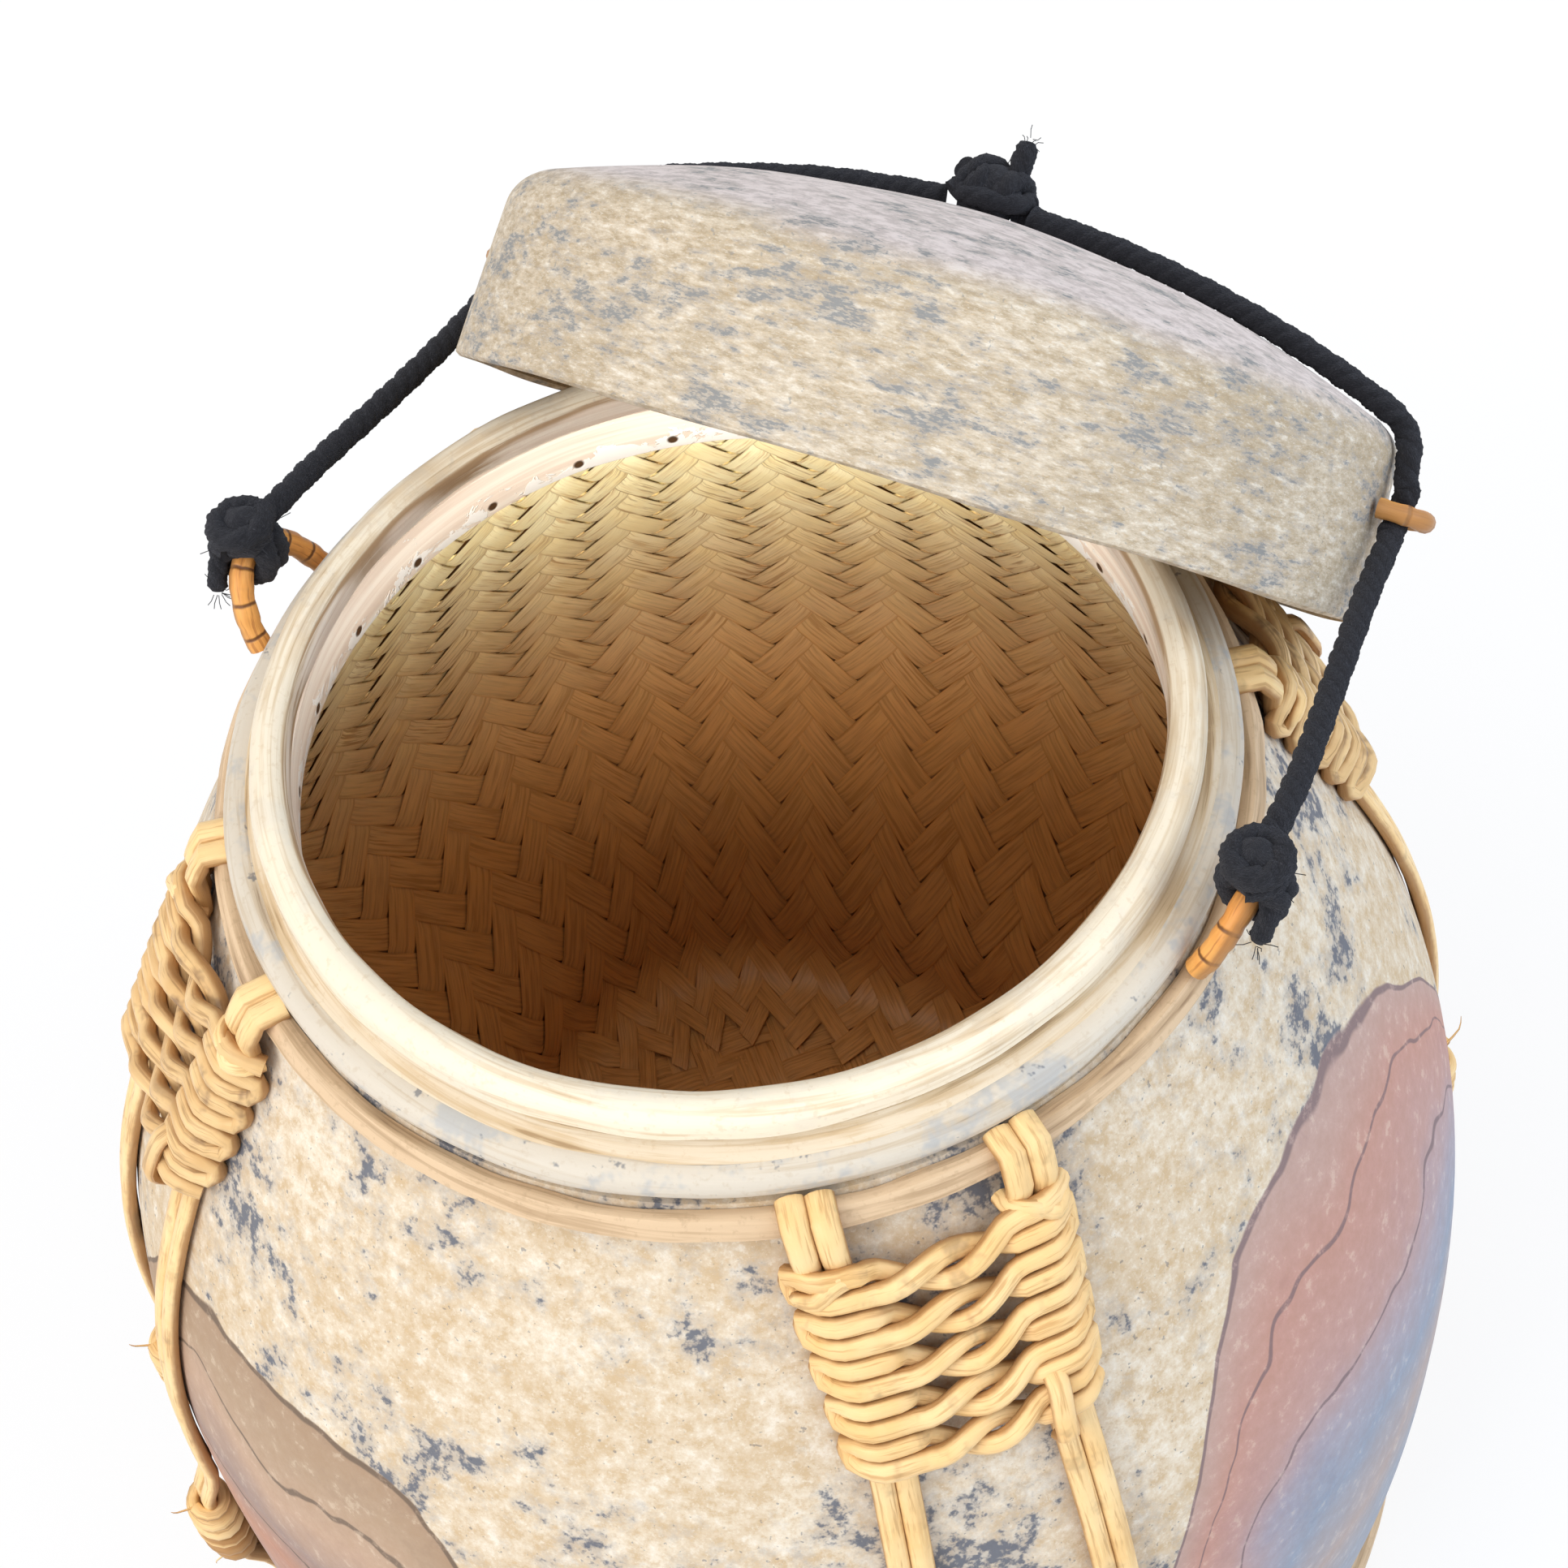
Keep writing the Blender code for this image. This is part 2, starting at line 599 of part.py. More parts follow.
def strap_azimuth(drop, sideways_share):
    """Angle from the pad's middle to a strap, or to one of its canes, at a drop."""
    radius = SHELL.radius(height(min(drop, PAD_FOOT_DROP)))
    share = min(max((drop - PAD_TOP_DROP) / (PAD_FOOT_DROP - PAD_TOP_DROP), 0.0), 1.0)
    spread = STRAP_SPREAD_TOP + (STRAP_SPREAD_FOOT - STRAP_SPREAD_TOP) * share
    return math.asin(spread / radius) * sideways_share


def strap_leg(azimuth, side, cane):
    """Route of one cane of a strap, from the neck ring down to the foot hoop."""
    ring_top = NECK_RING_DROP - NECK_RING_WIDTH / 2.0
    ring_foot = NECK_RING_DROP + NECK_RING_WIDTH / 2.0
    binding_end = BINDING_TOP_DROP + BINDING_TURNS * BINDING_PITCH
    foot_z = FOOT_HOOP_HEIGHT + GAP
    drops = {MOUTH_HEIGHT - z for _, z in SHELL.outline if z < height(ring_foot + 1.5 * RING_RAMP)}
    drops |= {ring_top, ring_foot, ring_foot + RING_RAMP, MOUTH_HEIGHT - foot_z - 2.0 * CANE_RADIUS}
    drops |= {BINDING_TOP_DROP - BINDING_RAMP, BINDING_TOP_DROP, binding_end, binding_end + BINDING_RAMP}
    route = []
    for drop in sorted(drops):
        point = SHELL.point(azimuth + strap_azimuth(drop, side), cane * CANE_SPACING / 2.0, height(drop),
                            strap_off(drop))
        if point.z > foot_z + CANE_RADIUS:
            route.append(point)
    route.append(Vector((route[-1].x, route[-1].y, foot_z)))
    return route


def build_straps(name, azimuth):
    """Two straps of a pad, each one cane folded over the neck ring."""
    for side_name, side in (("left", 1.0), ("right", -1.0)):
        outer = strap_leg(azimuth, side, side)
        inner = strap_leg(azimuth, side, -side)
        crown_radius = HARNESS_RADIUS + CANE_RADIUS * 1.5
        crown_z = NECK_RING_TOP + CANE_RADIUS * 1.5
        middle = azimuth + strap_azimuth(0.0, side)
        turn = math.asin(CANE_SPACING / 2.0 / crown_radius) * side
        bight = [polar(crown_radius, middle + turn * share, crown_z - fall * CANE_RADIUS)
                 for share, fall in ((1.0, 0.6), (0.55, 0.0), (-0.55, 0.0), (-1.0, 0.6))]
        tube("strap_%s_%s" % (name, side_name), outer[::-1] + bight + inner, CANE_RADIUS, "pale_cane", 0)
        build_binding("binding_%s_%s" % (name, side_name), azimuth, side)


def build_binding(name, azimuth, side):
    """Strand wound round the two canes of a strap, one unbroken coil."""
    wrap = (CANE_RADIUS + GAP + BINDING_STRAND) / math.cos(math.pi / POINTS_PER_TURN)
    route = []
    for step in range(BINDING_TURNS * POINTS_PER_TURN + 1):
        angle = 2.0 * math.pi * (step + 0.5) / POINTS_PER_TURN
        drop = BINDING_TOP_DROP + BINDING_PITCH * step / POINTS_PER_TURN
        across = wrap * math.cos(angle) + math.copysign(CANE_SPACING / 2.0, math.cos(angle))
        off = strap_off(drop) + wrap * math.sin(angle)
        route.append(SHELL.point(azimuth + strap_azimuth(drop, side), across, height(drop), off))
    report_self_gap(name, route, BINDING_STRAND, POINTS_PER_TURN // 2)
    tube(name, route, BINDING_STRAND, "pale_cane", 0)


def weft_route(azimuth):
    """One strand laid to and fro over the straps, turned down round the outer canes at each end."""
    above_strap = CANE_RADIUS + 2.0 * GAP + WEFT_RADIUS
    low = WEFT_RADIUS + GAP
    edge = CANE_SPACING / 2.0 + CANE_RADIUS + GAP + WEFT_RADIUS
    pitch = (PAD_FOOT_DROP - PAD_TOP_DROP) / (PAD_ROWS - 1)
    route = []
    for row in range(PAD_ROWS):
        drop = PAD_TOP_DROP + pitch * row
        over = strap_off(drop - WEFT_RADIUS) + above_strap
        spread = STRAP_SPREAD_TOP + (STRAP_SPREAD_FOOT - STRAP_SPREAD_TOP) * row / (PAD_ROWS - 1)
        direction = 1.0 if row % 2 == 0 else -1.0
        crossing = PAD_CROSSING * direction
        stations = ((-spread - edge * 0.75, 0.0, over), (-spread + edge * 0.75, 0.0, over),
                    (-spread / 3.0, PAD_DIP, over - PAD_SINK + crossing),
                    (spread / 3.0, PAD_DIP, over - PAD_SINK - crossing),
                    (spread - edge * 0.75, 0.0, over), (spread + edge * 0.75, 0.0, over))
        for sideways, dip, off in stations:
            route.append(SHELL.point(azimuth, direction * sideways, height(drop + dip), off))
        if row < PAD_ROWS - 1:
            turn = direction * (spread + edge)
            for share in (0.25, 0.75):
                route.append(SHELL.point(azimuth, turn, height(drop + pitch * share), (over + low) / 2.0))
    return route


def build_pad(name, azimuth):
    """Woven shoulder pad."""
    route = weft_route(azimuth)
    report_self_gap("pad_%s" % name, route, WEFT_RADIUS, 5)
    tube("pad_%s" % name, route, WEFT_RADIUS, "pale_cane", 1)


def report_self_gap(name, route, radius, apart):
    """Print the least gap of a wound strand to itself, measured between points that many steps apart."""
    least = min((route[i] - route[j]).length for i in range(len(route)) for j in range(i + apart, len(route)))
    print("%s: least gap to itself %.2f mm" % (name, (least - 2.0 * radius) * 1000.0))


def lug_route(side):
    """Route of a cane lug: up from the neck ring, out through the knot, and down again."""
    crown = LUG_AXIS.z - LUG_CROWN_FALL
    root = NECK_RING_TOP + LUG_CANE_RADIUS / 2.0 + GAP
    route = []
    for step in range(9):
        share = -1.0 + step / 4.0
        up = 1.0 - abs(share) ** 2.0
        angle = LUG_HALF_ANGLE * share * (1.0 + 0.12 * up)
        radius = LUG_ROOT_RADIUS + (LUG_KNOT_REACH - LUG_ROOT_RADIUS) * up ** 0.8
        route.append(polar(radius, side * math.pi / 2.0 + angle, root + (crown - root) * up))
    return route


def build_lugs():
    """Two cane lugs and the cord knots tied through them."""
    for side_name, side in (("right", 1.0), ("left", -1.0)):
        route = lug_route(side)
        tube("lug_loop_%s" % side_name, route, LUG_CANE_RADIUS, "orange_cane", 2)
        tunnel = mesh_of(tube("lug_tunnel_%s" % side_name, route, LUG_CANE_RADIUS + GAP, "orange_cane", 2))
        as_cutter(tunnel)
        knot = ball("lug_knot_%s" % side_name, (LUG_KNOT_RADIUS,) * 3, "black_cord")
        knot.location = LUG_AXIS + Vector((side * LUG_KNOT_REACH, 0.0, 0.0))
        boolean(knot, tunnel, "DIFFERENCE")


def ball(name, half_sizes, finish, parent=None):
    """Rounded lump from a sphere."""
    bm = bmesh.new()
    bmesh.ops.create_uvsphere(bm, u_segments=12, v_segments=8, radius=1.0)
    bmesh.ops.scale(bm, vec=half_sizes, verts=bm.verts)
    mesh = bpy.data.meshes.new(name)
    bm.to_mesh(mesh)
    bm.free()
    return add_part(name, mesh, finish, parent)


def build_legs(pivot):
    """Straight cord from each lug knot to the lid's side loop; the pivot is on the lug axis."""
    to_loop = LOOP_AXIS - LUG_AXIS
    length = to_loop.length
    start = (LUG_KNOT_RADIUS + GAP) / length
    end = 1.0 - LEG_END / length
    for side_name, side in (("right", 1.0), ("left", -1.0)):
        knot = Vector((side * LUG_KNOT_REACH, 0.0, 0.0))
        loop = to_loop + Vector((side * CORD_REACH, 0.0, 0.0))
        tube("cord_leg_%s" % side_name, [knot.lerp(loop, share) for share in (start, end)], CORD_RADIUS,
             "black_cord", 2, pivot)


def build_runs(pivot):
    """Short stretch of cord in each side loop, turned halfway between the leg and the lid's wall."""
    leg = LOOP_AXIS - LUG_AXIS
    leg_angle = math.atan2(leg.z, leg.y)
    wall_angle = math.pi / 2.0 - LID_TILT
    angle = (leg_angle + wall_angle) / 2.0
    half = Vector((0.0, math.cos(angle), math.sin(angle))) * RUN_HALF_LENGTH
    for side_name, side in (("right", 1.0), ("left", -1.0)):
        middle = Vector((side * CORD_REACH, 0.0, 0.0))
        tube("cord_run_%s" % side_name, [middle - half, middle + half], CORD_RADIUS, "black_cord", 2, pivot)


def lid_frame(outline):
    """An outline given from the skirt edge, moved to the lid's pivot on the side loops' axis."""
    return [(radius, up - LOOP_HEIGHT) for radius, up in outline]


def inward(outline, distance):
    """A lid outline moved inwards, square to itself at every point."""
    return [(max(radius - distance * normal.x, 0.0), up - distance * normal.y)
            for (radius, up), normal in zip(outline, outline_normals(outline))]


def build_lid(pivot):
    """Lid wall, rounded shoulder, crown, lining under the crown and the hoop that holds it."""
    wall_top = LID_WALL_HEIGHT - GAP
    wall = [(lid_wall_radius(wall_top), wall_top), (LID_RADIUS, 0.0),
            (LID_RADIUS - LID_WALL, 0.0), (lid_wall_radius(wall_top) - LID_WALL, wall_top)]
    turned("lid_wall", lid_frame(wall), "lid_paint", pivot)
    inner_arc = inward(LID_SIDE, LID_WALL)[:SHOULDER_ARC_STEPS + 1]
    inner_arc[0] = seam_point(LID_WALL, 0.0)
    inner_arc[-1] = (lid_wall_radius(LID_WALL_HEIGHT) - LID_WALL, LID_WALL_HEIGHT)
    shoulder = LID_SIDE[:SHOULDER_ARC_STEPS + 1] + inner_arc[::-1]
    turned("lid_shoulder", lid_frame(shoulder), "lid_paint", pivot)
    crown = LID_CROWN[:-1] + [seam_point(0.0, GAP)]
    turned("lid_crown", lid_frame(crown + crown_underside(crown, LID_WALL)[::-1]), "lid_paint", pivot)

    hoop_outer = lid_wall_radius(LID_HOOP_LOW) - LID_WALL - LID_TAPER - GAP
    hoop_inner = hoop_outer - LID_HOOP_THICKNESS
    edge_radius = hoop_outer - LID_SHOULDER_RADIUS / 2.0
    lining = [point for point in crown_underside(crown, LID_WALL + GAP) if point[0] < edge_radius]
    below = [point for point in crown_underside(crown, LID_WALL + GAP + LID_LINING_THICKNESS)
             if point[0] < edge_radius]
    turned("lid_lining", lid_frame(lining + below[::-1]), "plaited_bamboo", pivot)
    hoop_top = below[-1][1] - GAP
    turned("lid_inner_hoop", lid_frame([(hoop_outer, LID_HOOP_LOW + LID_TAPER), (hoop_outer, LID_HOOP_LOW),
                                        (hoop_inner, LID_HOOP_LOW), (hoop_inner, LID_WALL_HEIGHT),
                                        (below[-1][0] - LID_HOOP_THICKNESS, hoop_top - GAP),
                                        (below[-1][0], hoop_top),
                                        (hoop_outer, LID_WALL_HEIGHT)]), "hoop_wood", pivot)
    build_side_loops(pivot)
    build_lid_cord(pivot)


def seam_point(depth, back):
    """Point on the seam between crown and wall, at a depth below the surface and back towards the crown."""
    radius, up = LID_SIDE[0]
    sine = math.sin(LID_SEAM_SLOPE)
    cosine = math.cos(LID_SEAM_SLOPE)
    return radius - depth * sine - back * cosine, up - depth * cosine + back * sine


def crown_underside(crown, distance):
    """The crown's outline moved down, square to itself, with its middle kept on the axis."""
    moved = inward(crown, distance)
    moved[0] = (0.0, crown[0][1] - distance)
    moved[-1] = seam_point(distance, GAP)
    return moved


def build_side_loops(pivot):
    """Cane loop on each side of the lid, which the cord runs through."""
    wall = lid_wall_radius(LOOP_HEIGHT) + GAP
    bend = wall + LOOP_REACH - LOOP_HALF_WIDTH
    for side_name, side in (("right", 1.0), ("left", -1.0)):
        route = [Vector((wall, LOOP_HALF_WIDTH, 0.0))]
        for step in range(7):
            angle = math.pi / 2.0 - math.pi * step / 6.0
            reach = bend + LOOP_HALF_WIDTH * math.cos(angle)
            route.append(Vector((reach, LOOP_HALF_WIDTH * math.sin(angle), 0.0)))
        route.append(Vector((wall, -LOOP_HALF_WIDTH, 0.0)))
        tube("lid_loop_%s" % side_name, [Vector((side * point.x, point.y, 0.0)) for point in route],
             LOOP_CANE_RADIUS, "orange_cane", 1, pivot)


def build_lid_cord(pivot):
    """Cord over the lid from each side loop to the knot at its middle."""
    off = CORD_RADIUS + GAP
    crown = [point for point in LID_CROWN if point[0] > CENTRE_KNOT_SIZE[0] + 0.004][:-1]
    over = []
    outline = crown + LID_SIDE[:-2]
    normals = outline_normals(LID_CROWN[:-1] + LID_SIDE)[len(LID_CROWN[:-1]) - len(crown):]
    for (radius, up), normal in zip(outline, normals):
        over.append((radius + off * normal.x, up + off * normal.y))
    swing = math.hypot(RUN_HALF_LENGTH, CORD_RADIUS) + GAP
    wall_end = (lid_wall_radius(LOOP_HEIGHT) + off, LOOP_HEIGHT + swing)
    apex = LID_CROWN[0][1]
    inner_end = (CENTRE_KNOT_SIZE[0] + GAP, apex + off)
    route = lid_frame([inner_end] + over + [wall_end])
    for side_name, side in (("right", 1.0), ("left", -1.0)):
        points = [Vector((side * radius, 0.0, up)) for radius, up in route]
        tube("lid_cord_%s" % side_name, points, CORD_RADIUS, "black_cord", 2, pivot)
    knot = ball("lid_cord_knot", CENTRE_KNOT_SIZE, "black_cord", pivot)
    knot.location.z = apex - LOOP_HEIGHT + GAP + CENTRE_KNOT_SIZE[2]
    stub_size = (CENTRE_STUB_RADIUS, CENTRE_STUB_RADIUS, CENTRE_STUB_LENGTH)
    stub = ball("knot_stub", stub_size, "black_cord", pivot)
    stub.location = knot.location + Vector((CENTRE_KNOT_SIZE[0] / 3.0, 0.0, CENTRE_KNOT_SIZE[2]))
    as_cutter(stub)
    boolean(knot, stub, "UNION")


def main():
    """Build every piece of the container."""
    clear_scene()
    make_collection(COLLECTION_NAME)
    make_collection("cutters")
    build_shell()
    build_basket()
    build_base()
    build_rim()
    build_neck_ring()
    for name, degrees in PAD_AZIMUTHS.items():
        azimuth = math.radians(degrees)
        build_straps(name, azimuth)
        build_pad(name, azimuth)
    build_lugs()
    swing_pivot = add_pivot("cord_swing_pivot", LUG_AXIS)
    run_pivot = add_pivot("cord_run_pivot", LOOP_AXIS, swing_pivot)
    lid_pivot = add_pivot("lid_pivot", LOOP_AXIS, run_pivot, -LID_TILT)
    build_legs(swing_pivot)
    build_runs(run_pivot)
    build_lid(lid_pivot)


main()
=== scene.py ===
"""Looks of a lidded bamboo rice container: a plaited basket in a painted paper shell, with a cane harness.

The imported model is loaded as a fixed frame. Each sub-assembly is a class that models its pieces in the frame's
metres, puts each on its body, and dresses it in a procedural finish. Azimuths run from +Y towards +X, and a
drop is a depth below the top of the mouth.
"""
from __future__ import annotations

import functools
import logging
import math
from dataclasses import dataclass
from enum import Enum
from typing import Callable, Sequence

import bpy
import numpy as np
from mathutils import Matrix, Vector, noise

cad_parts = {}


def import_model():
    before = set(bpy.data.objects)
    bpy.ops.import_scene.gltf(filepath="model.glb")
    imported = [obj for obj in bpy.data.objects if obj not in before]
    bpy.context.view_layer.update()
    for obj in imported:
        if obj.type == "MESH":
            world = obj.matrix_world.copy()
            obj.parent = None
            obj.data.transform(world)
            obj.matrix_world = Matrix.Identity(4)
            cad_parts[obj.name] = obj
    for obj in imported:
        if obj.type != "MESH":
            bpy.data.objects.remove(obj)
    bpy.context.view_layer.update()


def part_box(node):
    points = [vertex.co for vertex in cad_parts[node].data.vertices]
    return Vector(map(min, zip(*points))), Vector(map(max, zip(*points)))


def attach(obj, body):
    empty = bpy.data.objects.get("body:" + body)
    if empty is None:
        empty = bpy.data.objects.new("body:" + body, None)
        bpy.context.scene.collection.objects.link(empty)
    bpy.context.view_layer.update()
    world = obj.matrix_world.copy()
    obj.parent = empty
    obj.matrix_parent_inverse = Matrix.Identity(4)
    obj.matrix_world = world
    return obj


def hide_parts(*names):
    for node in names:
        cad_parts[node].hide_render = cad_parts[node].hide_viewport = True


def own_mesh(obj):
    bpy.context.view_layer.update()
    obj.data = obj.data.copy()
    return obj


LOG = logging.getLogger("rice_container")
Colour = tuple[float, float, float]
Outline = list[tuple[float, float]]
Size = tuple[float, float, float]
Piece = bpy.types.Object

AIR = 0.0003                     # gap between two pieces that lie on each other
ROUND = 192                      # steps round a large turned piece
TURN = 2.0 * math.pi
ORIGIN = (0.0, 0.0, 0.0)
WHITE = (1.0, 1.0, 1.0)
SIDES = (("right", 1.0), ("left", -1.0))


class Body(Enum):
    """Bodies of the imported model."""

    POT = "pot"
    LEGS = "cord_legs"
    RUNS = "cord_runs"
    LID = "lid"


class Ink(Enum):
    """Colours that more than one finish uses."""

    CREAM = (0.86, 0.73, 0.55)
    OCHRE = (0.66, 0.47, 0.27)
    BROWN = (0.28, 0.16, 0.08)
    INDIGO = (0.075, 0.095, 0.140)
    SLATE = (0.20, 0.22, 0.28)
    CHALK = (0.88, 0.83, 0.74)
    HOOP_PALE = (0.82, 0.73, 0.63)
    HOOP_PINK = (0.70, 0.57, 0.47)


# Forms that the pieces share


def polar(radius: float, azimuth: float, z: float) -> Vector:
    """Point at a radius and an azimuth."""
    return Vector((radius * math.sin(azimuth), radius * math.cos(azimuth), z))


def smooth(value: float) -> float:
    """Ease from 0 to 1."""
    value = min(max(value, 0.0), 1.0)
    return value * value * (3.0 - 2.0 * value)


def around(count: int, per_turn: float) -> list[float]:
    """Angles of so many steps, with so many to a turn."""
    return [TURN * step / per_turn for step in range(count)]


def left_normals(line: np.ndarray) -> np.ndarray:
    """Unit normals on the left of an outline of (radius, z) rows."""
    slope = np.gradient(line, axis=0)
    normals = np.stack([-slope[:, 1], slope[:, 0]], 1)
    return normals / np.linalg.norm(normals, axis=1)[:, None]


@dataclass(frozen=True)
class PotForm:
    """Form of the pot's shell, shared by every piece that lies on it."""

    mouth: float = 0.2400
    neck: tuple[float, float] = (0.0790, 0.2247)
    belly: tuple[float, float] = (0.1230, 0.0900)
    foot: tuple[float, float] = (0.1130, 0.0103)
    shoulder_slope: float = math.radians(60.0)
    shoulder_pull: float = 0.0660
    belly_pull_up: float = 0.0500
    belly_pull_down: float = 0.0400
    foot_slope: float = math.radians(72.0)
    foot_pull: float = 0.0250
    wall: float = 0.0040

    def outline(self) -> np.ndarray:
        """Outer outline from the neck down.

        Returns:
            Array of (radius, z) rows.
        """
        neck, belly, foot = np.array(self.neck), np.array(self.belly), np.array(self.foot)
        slope, tuck = self.shoulder_slope, self.foot_slope
        neck_handle = neck + self.shoulder_pull * np.array([math.cos(slope), -math.sin(slope)])
        foot_handle = foot + self.foot_pull * np.array([math.cos(tuck), math.sin(tuck)])
        upper = self.span(neck, neck_handle, belly + [0.0, self.belly_pull_up], belly, 26)
        lower = self.span(belly, belly - [0.0, self.belly_pull_down], foot_handle, foot, 16)
        return np.vstack([upper, lower[1:]])

    @staticmethod
    def span(start: np.ndarray, first: np.ndarray, second: np.ndarray, end: np.ndarray,
             steps: int) -> np.ndarray:
        """Points along one cubic curve span."""
        t = np.linspace(0.0, 1.0, steps + 1)[:, None]
        return (1 - t) ** 3 * start + 3 * t * (1 - t) ** 2 * first + 3 * t * t * (1 - t) * second + t ** 3 * end


FORM = PotForm()
SHELL_LINE = FORM.outline()
SHELL_NORMAL = left_normals(SHELL_LINE)
SHELL_INSIDE = SHELL_LINE - FORM.wall * SHELL_NORMAL


def on_line(z: float, values: np.ndarray) -> float:
    """Value at a height, of a column that goes with the shell's outline."""
    return float(np.interp(z, SHELL_LINE[::-1, 1], values[::-1]))


def shell_radius(z: float) -> float:
    """Outer radius of the shell at a height."""
    return on_line(z, SHELL_LINE[:, 0])


def shell_normal(z: float) -> tuple[float, float]:
    """Outward normal of the shell at a height, as (radial, up)."""
    radial, up = on_line(z, SHELL_NORMAL[:, 0]), on_line(z, SHELL_NORMAL[:, 1])
    length = math.hypot(radial, up)
    return radial / length, up / length


def on_shell(azimuth: float, sideways: float, drop: float, off: float) -> Vector:
    """Point off the shell.

    Args:
        azimuth: Azimuth of the line that sideways is measured from.
        sideways: Distance along the surface from that line, clockwise from above.
        drop: Depth below the mouth.
        off: Distance off the surface.

    Returns:
        The point in the frame.
    """
    z = FORM.mouth - drop
    radial, up = shell_normal(z)
    radius = shell_radius(z) + off * radial
    return polar(radius, azimuth + math.asin(sideways / radius), z + off * up)


def away_from_axis(point: np.ndarray) -> np.ndarray:
    """Direction off the shell at a point near it."""
    radial, up = shell_normal(min(max(point[2], FORM.foot[1]), FORM.neck[1]))
    return np.array(polar(radial, math.atan2(point[0], point[1]), up))


@dataclass(frozen=True)
class LidForm:
    """Where the lid hangs, and its form above its skirt edge."""

    tilt: float = math.radians(52.5)
    pivot: Size = (0.0, 0.080586, 0.230306)
    loop_height: float = 0.0189
    radius: float = 0.0793
    taper: float = 0.0011
    wall: float = 0.0024
    wall_height: float = 0.0261
    shoulder_radius: float = 0.0072
    seam_slope: float = math.radians(21.5)

    def matrix(self) -> Matrix:
        """Place of the lid's own frame, whose origin is the middle of its skirt."""
        return (Matrix.Translation(self.pivot) @ Matrix.Rotation(-self.tilt, 4, "X")
                @ Matrix.Translation((0.0, 0.0, -self.loop_height)))

    def side_radius(self, up: float) -> float:
        """Outer radius of the wall at a height above the skirt edge."""
        return self.radius - self.taper * up / self.wall_height

    def shoulder(self, depth: float) -> Outline:
        """Points of the rounded shoulder, so deep under its surface, from the wall's top to the seam."""
        middle = self.radius - self.taper - self.shoulder_radius
        reach = self.shoulder_radius - depth
        seam = math.pi / 2.0 - self.seam_slope
        return [(middle + reach * math.cos(angle), self.wall_height + reach * math.sin(angle))
                for angle in (seam * i / 10.0 for i in range(11))]

    def crown(self, depth: float) -> Outline:
        """Points of the domed crown, so deep under its surface, from the seam to the axis."""
        seam_radius, seam_height = self.shoulder(depth)[-1]
        rise = seam_radius * math.tan(self.seam_slope) / 2.0
        shares = [1.0 - i / 16.0 for i in range(17)]
        return [(seam_radius * share, seam_height + rise * (1.0 - share * share)) for share in shares]

    def cord_point(self, side: float) -> Vector:
        """Middle of the cord in the loop on a side."""
        return Vector((side * (self.side_radius(self.loop_height) + 0.0031), *self.pivot[1:]))


LID = LidForm()
LID_APEX = LID.crown(0.0)[-1][1]


# Modelling tools


def deselect() -> None:
    """Leave edit mode and deselect everything."""
    if bpy.context.object is not None and bpy.context.object.mode != "OBJECT":
        bpy.ops.object.mode_set(mode="OBJECT")
    bpy.ops.object.select_all(action="DESELECT")


def pick(*pieces: Piece) -> None:
    """Make pieces the only selected ones, and the first one active."""
    deselect()
    for piece in pieces:
        piece.select_set(True)
    bpy.context.view_layer.objects.active = pieces[0]


def primitive(kind: str, name: str, location: Sequence[float] = ORIGIN, **settings: float) -> Piece:
    """Add a primitive under a name, with nothing else selected.

    Args:
        kind: Which primitive.
        name: Name of the piece.
        location: Where its middle goes.
        **settings: Its other settings.

    Returns:
        The new piece.
    """
    deselect()
    getattr(bpy.ops.mesh, "primitive_%s_add" % kind)(location=location, **settings)
    bpy.context.object.name = name
    return bpy.context.object


def edit(piece: Piece, *steps: Callable[[], object]) -> None:
    """Run edit-mode steps on all of a piece."""
    pick(piece)
    bpy.ops.object.mode_set(mode="EDIT")
    bpy.ops.mesh.select_all(action="SELECT")
    for step in steps:
        step()
    bpy.ops.object.mode_set(mode="OBJECT")


def weld() -> None:
    """Merge doubles and turn all faces outwards."""
    bpy.ops.mesh.select_all(action="SELECT")
    bpy.ops.mesh.remove_doubles(threshold=0.000004)
    bpy.ops.mesh.dissolve_degenerate(threshold=0.000002)
    bpy.ops.mesh.normals_make_consistent(inside=False)


def cap() -> None:
    """Close open ends."""
    bpy.ops.mesh.select_all(action="SELECT")
    bpy.ops.mesh.fill_holes(sides=0)


def smooth_shade(piece: Piece, degrees: float = 40.0) -> None:
    """Shade a piece smooth up to an angle."""
    pick(piece)
    bpy.ops.object.shade_smooth_by_angle(angle=math.radians(degrees))


def modify(piece: Piece, kind: str, **settings: object) -> None:
    """Finish a piece with a modifier, and apply it.

    Args:
        piece: The piece.
        kind: Kind of modifier.
        **settings: Settings of the modifier.
    """
    modifier = piece.modifiers.new(kind, kind)
    for key, value in settings.items():
        setattr(modifier, key, value)
    pick(piece)
    bpy.ops.object.modifier_apply(modifier=modifier.name)


def joined(name: str, pieces: Sequence[Piece]) -> Piece:
    """Join pieces into the first and name it."""
    pick(*pieces)
    bpy.ops.object.join()
    pieces[0].name = name
    return pieces[0]


def coordinates(piece: Piece) -> np.ndarray:
    """Vertex coordinates of a piece as rows."""
    flat = np.empty(len(piece.data.vertices) * 3)
    piece.data.vertices.foreach_get("co", flat)
    return flat.reshape(-1, 3)


def move_to(piece: Piece, points: np.ndarray) -> None:
    """Give a piece's vertices new coordinates."""
    piece.data.vertices.foreach_set("co", np.asarray(points, float).ravel())
    piece.data.update()


